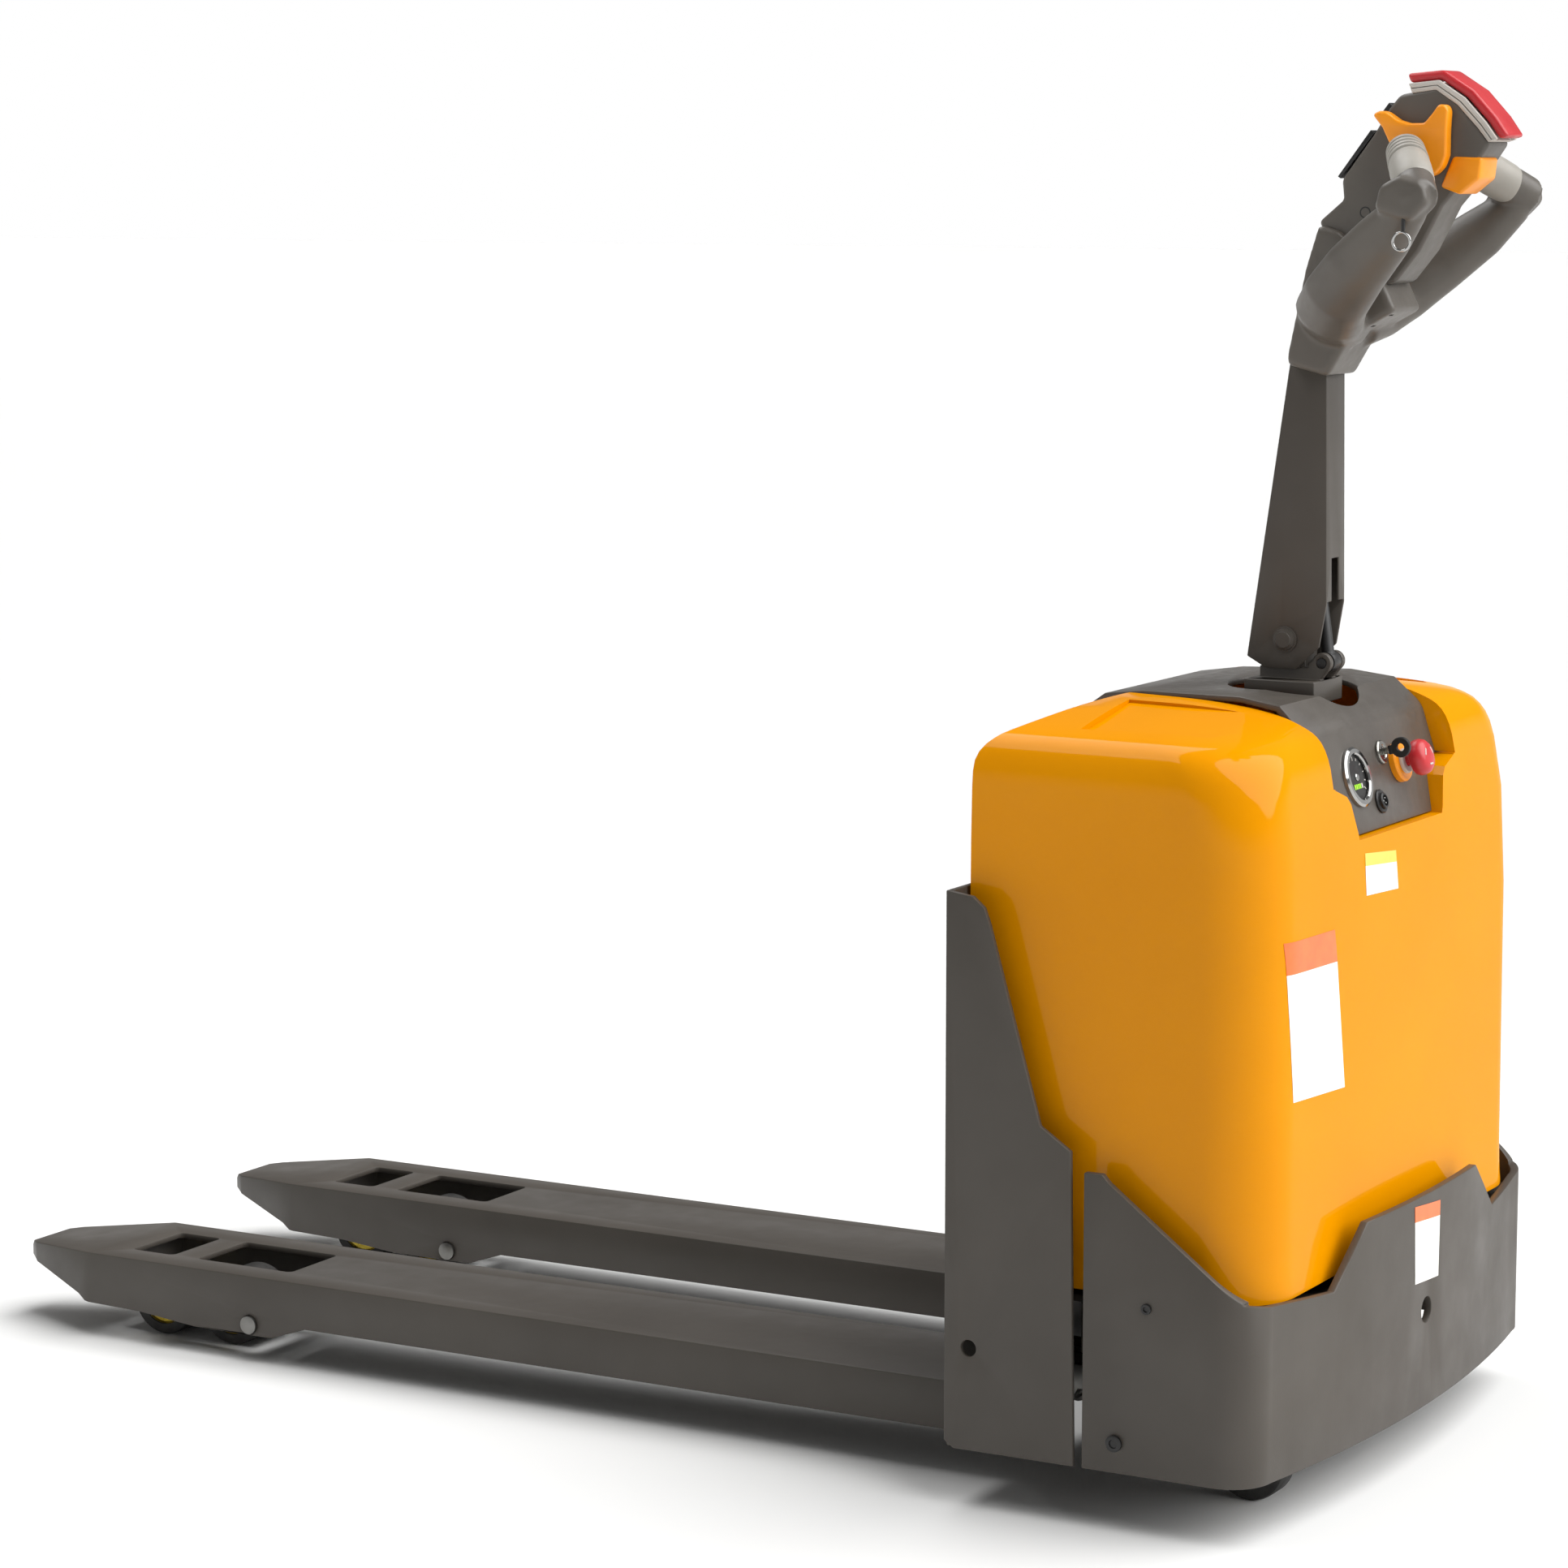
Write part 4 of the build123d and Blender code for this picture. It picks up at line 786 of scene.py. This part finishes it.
def drive_unit():
    """Bolted turntable, gear case, ribbed motor, grooved tyre and a hub with five screws."""
    dressed("drive_gearbox", cast_iron, 1.6)
    ring = dressed("slew_ring", plain_steel, 0.8)
    for k in range(12):
        turn = Matrix.Rotation(radians(30 * k), 4, "Z") @ Matrix.Translation((0.090, 0, 0))
        bolt(ring, Matrix.Translation(at(steer_x, 0, 266)) @ turn, 4.5, 4)
    low = 268.0
    motor = turned([(0, low), (58, low), (61.5, low + 3), (61.5, 318), (60, 320), (60, 402),
                    (61.8, 404), (61.8, 426), (58, 429.5), (51.5, 430), (51.5, 462),
                    (47, 469.5), (0, 469.8)], Matrix.Translation(at(steer_x, 0, 0)),
                   "drive_motor_body", [cast_iron, black_plastic, bright_zinc])
    for k in range(20):
        turn = Matrix.Rotation(radians(18 * k), 4, "Z") @ Matrix.Translation((0.0600, 0, 0))
        add_to(motor, chunk(Matrix.Translation(at(steer_x, 0, 0)) @ turn, 3.4, 4.5, 324, 398,
                            0.8), 0)
    for k in range(3):
        turn = Matrix.Rotation(radians(120 * k), 4, "Z") @ Matrix.Translation((0.036, 0, 0))
        bolt(motor, Matrix.Translation(at(steer_x, 0, 469)) @ turn, 4, 0.8, 2)
    stand_for(motor, "drive_motor")

    tyre = turned([(83.2, -34.9), (99, -34.9), (103.4, -33.4), (104.9, -29.5), (104.9, -12),
                   (103.4, -11), (103.4, -9), (104.9, -8), (104.9, 8), (103.4, 9), (103.4, 11),
                   (104.9, 12), (104.9, 29.5), (103.4, 33.4), (99, 34.9), (83.2, 34.9),
                   (83.2, -34.9)], across(steer_x, wheel_r), "drive_tyre", [tread], 96)
    stand_for(tyre, "drive_wheel_tyre")
    hub = dressed("drive_wheel_hub", cast_iron, 1.4)
    hub.data.materials.append(bright_zinc)
    for k in range(5):
        turn = Matrix.Rotation(radians(72 * k), 4, "Z") @ Matrix.Translation((0.019, 0, 0))
        bolt(hub, outward(steer_x, wheel_r, -1) @ Matrix.Translation((0, 0, 0.0342)) @ turn,
             3.6, 0.7, 1)


drive_unit()
for side, y in (("left", -fork_y), ("right", fork_y)):
    dressed(f"castor_fork_{side}", bright_zinc, 0.8)
    roller(f"castor_wheel_{side}", 249, 37, y, 37, 16, 6.1, 4, 22)


# ---------------------------------------------------------------- lift and power unit
# Inside the hood stand two sealed batteries, the finned motor controller and the pump with its
# tank; behind the carriage are the guide channels, nylon pads and the chromed lift ram.
battery_case = moulded_plastic("black ribbed polypropylene", "17181b", "1d1f22", 1.6, 0.05,
                               (0.42, 0.55))


def cast_aluminium():
    """Die-cast aluminium fins: pale, dull, with a blasted grain."""
    alloy, tree = new_material("blasted die-cast aluminium")
    grit, place = bump(tree, 1.2, 0.05, 3.0)
    colour = two_tone(tree, place, 30, "9fa0a2", "b1b2b3")
    dull = spread(tree, place, 10, 0.38, 0.5)
    surface = add(tree, "BsdfPrincipled", {"Base Color": colour.outputs[0], "Metallic": 1.0,
                                           "Roughness": dull.outputs[0],
                                           "Normal": grit.outputs[0]})
    add(tree, "OutputMaterial", {"Surface": surface.outputs[0]})
    return alloy


def battery(node, s):
    """Ribbed case with a stepped lid, vent caps and two lead terminals."""
    low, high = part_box(node)
    centre = (low + high) / 2
    place = Matrix.Translation((centre.x, centre.y, 0))
    x, y = (high.x - low.x) * 1000, (high.y - low.y) * 1000
    case = finish_mesh(chunk(place, x - 4, y - 4, 208.2, 469.5, 5, 3), node + "_case",
                       [battery_case, bright_zinc, red_plastic])
    for k in range(9):
        for u in (-1, 1):
            rib = Matrix.Translation(((k - 4) * x / 9.6 / 1000, u * (y / 2 - 1.6) / 1000, 0))
            add_to(case, chunk(place @ rib, 6, 3, 222, 440, 1), 0)
    add_to(case, chunk(place, x - 1, y - 1, 446, 470, 3, 2), 0)
    add_to(case, chunk(place, x - 17, y - 17, 469, 481.8, 4, 3), 0)
    for k in range(6):
        spot = Matrix.Translation(((k % 3 - 1) * 0.045 + 0.02, (k // 3 - 0.5) * 0.05, 0))
        add_to(case, turned_mesh([(0, 484.5), (7, 484.5), (8, 483.5), (8, 481)], place @ spot, 20))
    for k, u in ((1, 1), (2, -1)):
        spot = Matrix.Translation((low.x + 0.039 - centre.x, s * u * (y / 2 - 40) / 1000, 0))
        add_to(case, turned_mesh([(0, 495.8), (6.4, 495.8), (7.4, 494.6), (7.8, 481)],
                                 place @ spot, 24), k)
    stand_for(case, node)


battery("battery_left", -1)
battery("battery_right", 1)
controller = dressed("motor_controller", cast_aluminium(), 0.8)
controller.data.materials.append(bright_zinc)
for k in range(5):
    stud = Matrix.Translation(at(75.5, -250 + 20 * k, 537))
    bolt(controller, stud, 3.2, 6, 1)
pump = dressed("hydraulic_unit", battery_case, 2.0)
pump.data.materials.append(red_plastic)
add_to(pump, turned_mesh([(0, 615.8), (12, 615.8), (14, 614.2), (14, 606)],
                         Matrix.Translation(at(110, 246, 0)), 28), 1)
dressed("guide_rails", plain_steel, 0.8)
dressed("slide_pads", black_plastic, 0.6)
dressed("lift_cylinder", cast_iron, 0.8)
dressed("lift_piston_rod", chrome, 0.5)


# ---------------------------------------------------------------- steering column and tiller arm
# The stepped column head carries the pin that the arm tilts on.  The arm is folded from sheet,
# and a gas spring inside it lifts it back upright.
pivot_x, pivot_z = 196, 812
dressed("steering_column", grey_coat, 1.4)
dressed("tiller_arm", grey_coat, 1.0)


def pivot_pin():
    """Pin with a washer and a domed head on each side of the arm."""
    pin = turned([(0, -28.8), (7.5, -28.6), (8.8, -27), (8.8, 26), (7.5, 26.5), (0, 26.6)],
                 across(pivot_x, pivot_z), "tiller_pin", [grey_coat])
    for s, out in ((-1, 28.8), (1, 26.8)):
        add_to(pin, turned_mesh([(0, out), (7, out - 0.3), (10.5, out - 2), (11, 24.4),
                                 (12.8, 24.2), (12.8, 22.6)],
                                outward(pivot_x, pivot_z, s), 40))
    stand_for(pin, "tiller_pivot_pin")


pivot_pin()
dressed("gas_spring_tube", black_plastic, 0.5)
dressed("gas_spring_rod", chrome, 0.4)


skirt_half = 360


def skirt_screws():
    """Low round heads with a sunk hexagon: a small and a large one on each side."""
    screws = finish_mesh(bmesh.new(), "skirt_screws", [black_plastic])
    for s in (-1, 1):
        for x, z, r in ((212, 219, 5), (180, 86, 8)):
            bolt(screws, outward(x, z, s) @ Matrix.Translation((0, 0, skirt_half / 1000)), r, 2.9)
    stand_for(screws, "side_bolts")


skirt_screws()


# ---------------------------------------------------------------- tiller head
# The head is moulded in dark ABS: a wide pod stands in a two-armed shell.  Thumb wings in
# yellow turn on the grips' axis, and a red button under a pale trim line covers the top.
head_x, head_z = 326.0, 1284.0
head_plastic = moulded_plastic("warm dark grey ABS", "514c46", "5a554e", 1.0, 0.06, (0.36, 0.46))
grip_rubber = moulded_plastic("grey rubberised grip", "918d85", "9d9991", 0.8, 0.05, (0.42, 0.54))


def from_axis(points):
    """Points of a side outline given from the throttle's axis."""
    return [(head_x + u, head_z + v) for u, v in points]


pod_line = from_axis([(-64, -134), (-100, -67), (-75, -46), (-77, -27), (-45, 16), (-30, 40),
                      (-19, 53), (18, 59), (40, 44), (60, 22), (72, 7), (52, -22), (26, -52),
                      (4, -94), (-20, -124)])


def pod():
    """Flat-sided pod with a yellow finger tab behind it and two screws on each side."""
    body = slab(pod_line, "y", -27, 27, "head_pod_shell",
                [head_plastic, black_plastic, yellow_plastic], 4, 4)
    lip = slab([(350, 1250), (362, 1279), (391, 1278), (389, 1258), (370, 1243)], "y", -29, 16,
               edge_mm=3, segments=3)
    add_to(body, taken(lip), 2)
    for s in (-1, 1):
        for x, z in ((head_x + 48, head_z - 17), (head_x - 52, head_z - 58)):
            add_to(body, turned_mesh([(0, 26.2), (3.6, 26.2), (4.4, 27.05), (5.6, 27.05),
                                      (6.0, 26.4), (6.0, 25)], outward(x, z, s), 24), 1)
    stand_for(body, "head_pod")


def ring_of(bm, centre, major, along, a, b, count=20):
    """An oval ring of edges: half width a along the major direction and b across it."""
    along = Vector(along).normalized()
    major = Vector(major)
    major = (major - major.dot(along) * along).normalized()
    minor = along.cross(major)
    turn = Matrix((major, minor, along)).transposed().to_4x4()
    place = Matrix.Translation(centre) @ turn @ Matrix.Diagonal((a / 1000, b / 1000, 1, 1))
    made = bmesh.ops.create_circle(bm, segments=count, radius=1.0, matrix=place)
    return list({e for v in made["verts"] for e in v.link_edges})


def oval_bar(bm, stations):
    """Bridges oval rings into a closed bar; each station is centre, major, along, a and b."""
    loops = [ring_of(bm, at(*c), m, d, a, b) for c, m, d, a, b in stations]
    for near, far in zip(loops, loops[1:]):
        bmesh.ops.bridge_loops(bm, edges=near + far)
    for loop in (loops[0], loops[-1]):
        bmesh.ops.contextual_create(bm, geom=loop)


def yoke():
    """Socket, two flat arms and blunt elbows, run together into one soft-edged shell."""
    bm = bmesh.new()
    flat = (0.94, 0, -0.34)
    for s in (-1, 1):
        oval_bar(bm, [
            ((240, s * 16, 1122), flat, (0.2, s, 0.2), 36, 26),
            ((250, s * 52, 1130), flat, (0.4, s * 0.9, 0.4), 35, 24),
            ((268, s * 80, 1147), flat, (0.55, s * 0.6, 0.5), 33, 22),
            ((297, s * 103, 1174), flat, (0.6, s * 0.45, 0.6), 31, 20),
            ((332, s * 123, 1204), flat, (0.6, s * 0.35, 0.7), 27, 19),
            ((356, s * 135, 1228), (1, 0, -0.2), (0.4, s * 0.25, 1), 22, 19),
            ((367, s * 140, 1244), (1, 0, 0), (0, s * 0.1, 1), 19, 19)])
        oval_bar(bm, [
            ((374, s * 146, 1240), (1, 0, 0), (-46, -s * 84, 41), 19.5, 19),
            ((358, s * 116, 1256), (1, 0, 0), (-46, -s * 84, 41), 19, 18.5)])
    bmesh.ops.recalc_face_normals(bm, faces=bm.faces)
    shell = finish_mesh(bm, "yoke_shell", [])
    stem = slab([(200, 1079), (198, 1086), (216, 1172), (229, 1214), (250, 1208), (290, 1172),
                 (309, 1133), (264, 1108), (241, 1069)], "y", -36, 36, edge_mm=9, segments=3)
    for s in (-1, 1):
        y0, y1 = sorted((s * 128, s * 157))
        elbow = slab([(339, 1252), (358, 1262), (383, 1254), (387, 1236), (370, 1219),
                      (334, 1229)], "y", y0, y1, edge_mm=5, segments=3)
        add_to(shell, taken(elbow))
    add_to(shell, taken(stem))
    melt = shell.modifiers.new("one skin", "REMESH")
    melt.mode = "VOXEL"
    melt.voxel_size = 0.0026
    soft = shell.modifiers.new("soft", "SMOOTH")
    soft.iterations = 5
    soft.factor = 0.5
    view = shell.evaluated_get(bpy.context.evaluated_depsgraph_get())
    mesh = bpy.data.meshes.new_from_object(view)
    shell.modifiers.clear()
    shell.data = mesh
    slots = []
    for k in range(3):
        z = 1118 + 13 * k
        x = 275 + 17 * k
        slots.append(slab([(x - 4, z + 9), (x + 9, z - 4), (x + 11, z - 2), (x - 2, z + 11)],
                          "y", -26 - k * 3, -16 - k * 3))
    cut(shell, slots)
    shell = finish_mesh(taken(shell), "yoke_shell", [head_plastic], 40)
    stand_for(shell, "head_yoke")


def grip(node, s):
    """Ribbed rubber sleeve: four ribs by the thumb wing, then a plain swelling grip."""
    start, end, elbow = 58, 124, 142
    share = (end - start) / (elbow - start)
    inner = at(head_x, s * start, head_z)
    outer = at(head_x + 46 * share, s * end, head_z - 41 * share)
    length = (outer - inner).length * 1000
    place = Matrix.Translation(inner) @ (outer - inner).to_track_quat("Z", "Y").to_matrix().to_4x4()
    profile = [(7.5, 0), (16.2, 0), (17.2, 1)]
    for k in range(4):
        h = 3 + 7.5 * k
        profile += [(18.6 + 0.3 * k, h), (18.8 + 0.3 * k, h + 4.4), (16.9 + 0.3 * k, h + 5.6),
                    (16.9 + 0.3 * k, h + 6.6)]
    profile += [(19.2, 34), (19.8, 46), (19.9, 62), (19.5, length - 6), (18.9, length - 2),
                (18.4, length), (7.5, length)]
    stand_for(turned(profile, place, node + "_sleeve", [grip_rubber], smooth=40), node)


def wing(node, s):
    """Thumb wing with soft edges and a dished middle between its two tabs."""
    y0, y1 = sorted((s * 28.8, s * 43.8))
    body = slab(from_axis([(-40, 34), (-34, 38), (-26, 37), (-14, 29), (-4, 26), (12, 26),
                           (20, 35), (26, 43.5), (33, 43), (36, 38), (35, 20), (35, -4),
                           (31, -15), (24, -22), (6, -27.5), (-4, -22), (-16, -6),
                           (-23, 8), (-30, 22)]), "y", y0, y1, node + "_wing",
                [yellow_plastic], 3.2, 4)
    stand_for(body, node)


def line_over_pod(lift):
    """The line over the pod's top, raised by the given amount."""
    return from_axis([(-8 - lift * 0.4, 57 + lift), (18 + lift * 0.3, 60 + lift),
                      (41 + lift * 0.75, 45 + lift * 0.75), (62 + lift * 0.85, 23 + lift * 0.6),
                      (73 + lift, 9 + lift * 0.3)])


def head_top():
    """Pale trim with a raised rim on each side, and the red button that sits between them."""
    trim = slab(line_over_pod(2.9) + line_over_pod(-2.8)[::-1], "y", -26.9, 26.9,
                "pod_trim", [pale_plastic], 1.0, 2)
    for s in (-1, 1):
        y0, y1 = sorted((s * 22.4, s * 26.9))
        wall = slab(line_over_pod(6.4) + line_over_pod(0)[::-1], "y", y0, y1, edge_mm=1.2,
                    segments=2)
        add_to(trim, taken(wall))
    stand_for(trim, "head_trim")
    button = slab(line_over_pod(15.8) + line_over_pod(6.7)[::-1], "y", -21.8, 21.8,
                  "travel_safety_button", [red_plastic], 3.4, 4)
    stand_for(button, "belly_button")


def lanyard():
    """Small split ring on a black eye under the left elbow."""
    place = Matrix.Translation(at(362, -154, 1201)) @ Matrix.Rotation(radians(90), 4, "X")
    bm = bmesh.new()
    made = bmesh.ops.create_circle(bm, segments=14, radius=0.0013, matrix=Matrix.Translation(
        (0.0085, 0, 0)) @ Matrix.Rotation(radians(90), 4, "X"))
    edges = list({e for v in made["verts"] for e in v.link_edges})
    bmesh.ops.spin(bm, geom=made["verts"] + edges, axis=(0, 0, 1), cent=(0, 0, 0),
                   angle=2 * pi, steps=40, use_merge=True)
    bmesh.ops.remove_doubles(bm, verts=bm.verts, dist=1e-6)
    bmesh.ops.recalc_face_normals(bm, faces=bm.faces)
    bm.transform(place)
    ring = finish_mesh(bm, "split_ring", [chrome, black_plastic])
    add_to(ring, turned_mesh([(0, 0), (1.8, 0), (1.8, 18), (0, 18)],
                             Matrix.Translation(at(363, -152.5, 1208)), 16), 1)
    stand_for(ring, "lanyard_ring")


pod()
yoke()
for side, s in (("left", -1), ("right", 1)):
    grip(f"grip_{side}", s)
    wing(f"butterfly_{side}", s)
head_top()
lanyard()
dressed("throttle_shaft", plain_steel, 0.5)
dressed("display_plate", black_plastic, 0.5)
dressed("lift_rocker", black_plastic, 0.8)
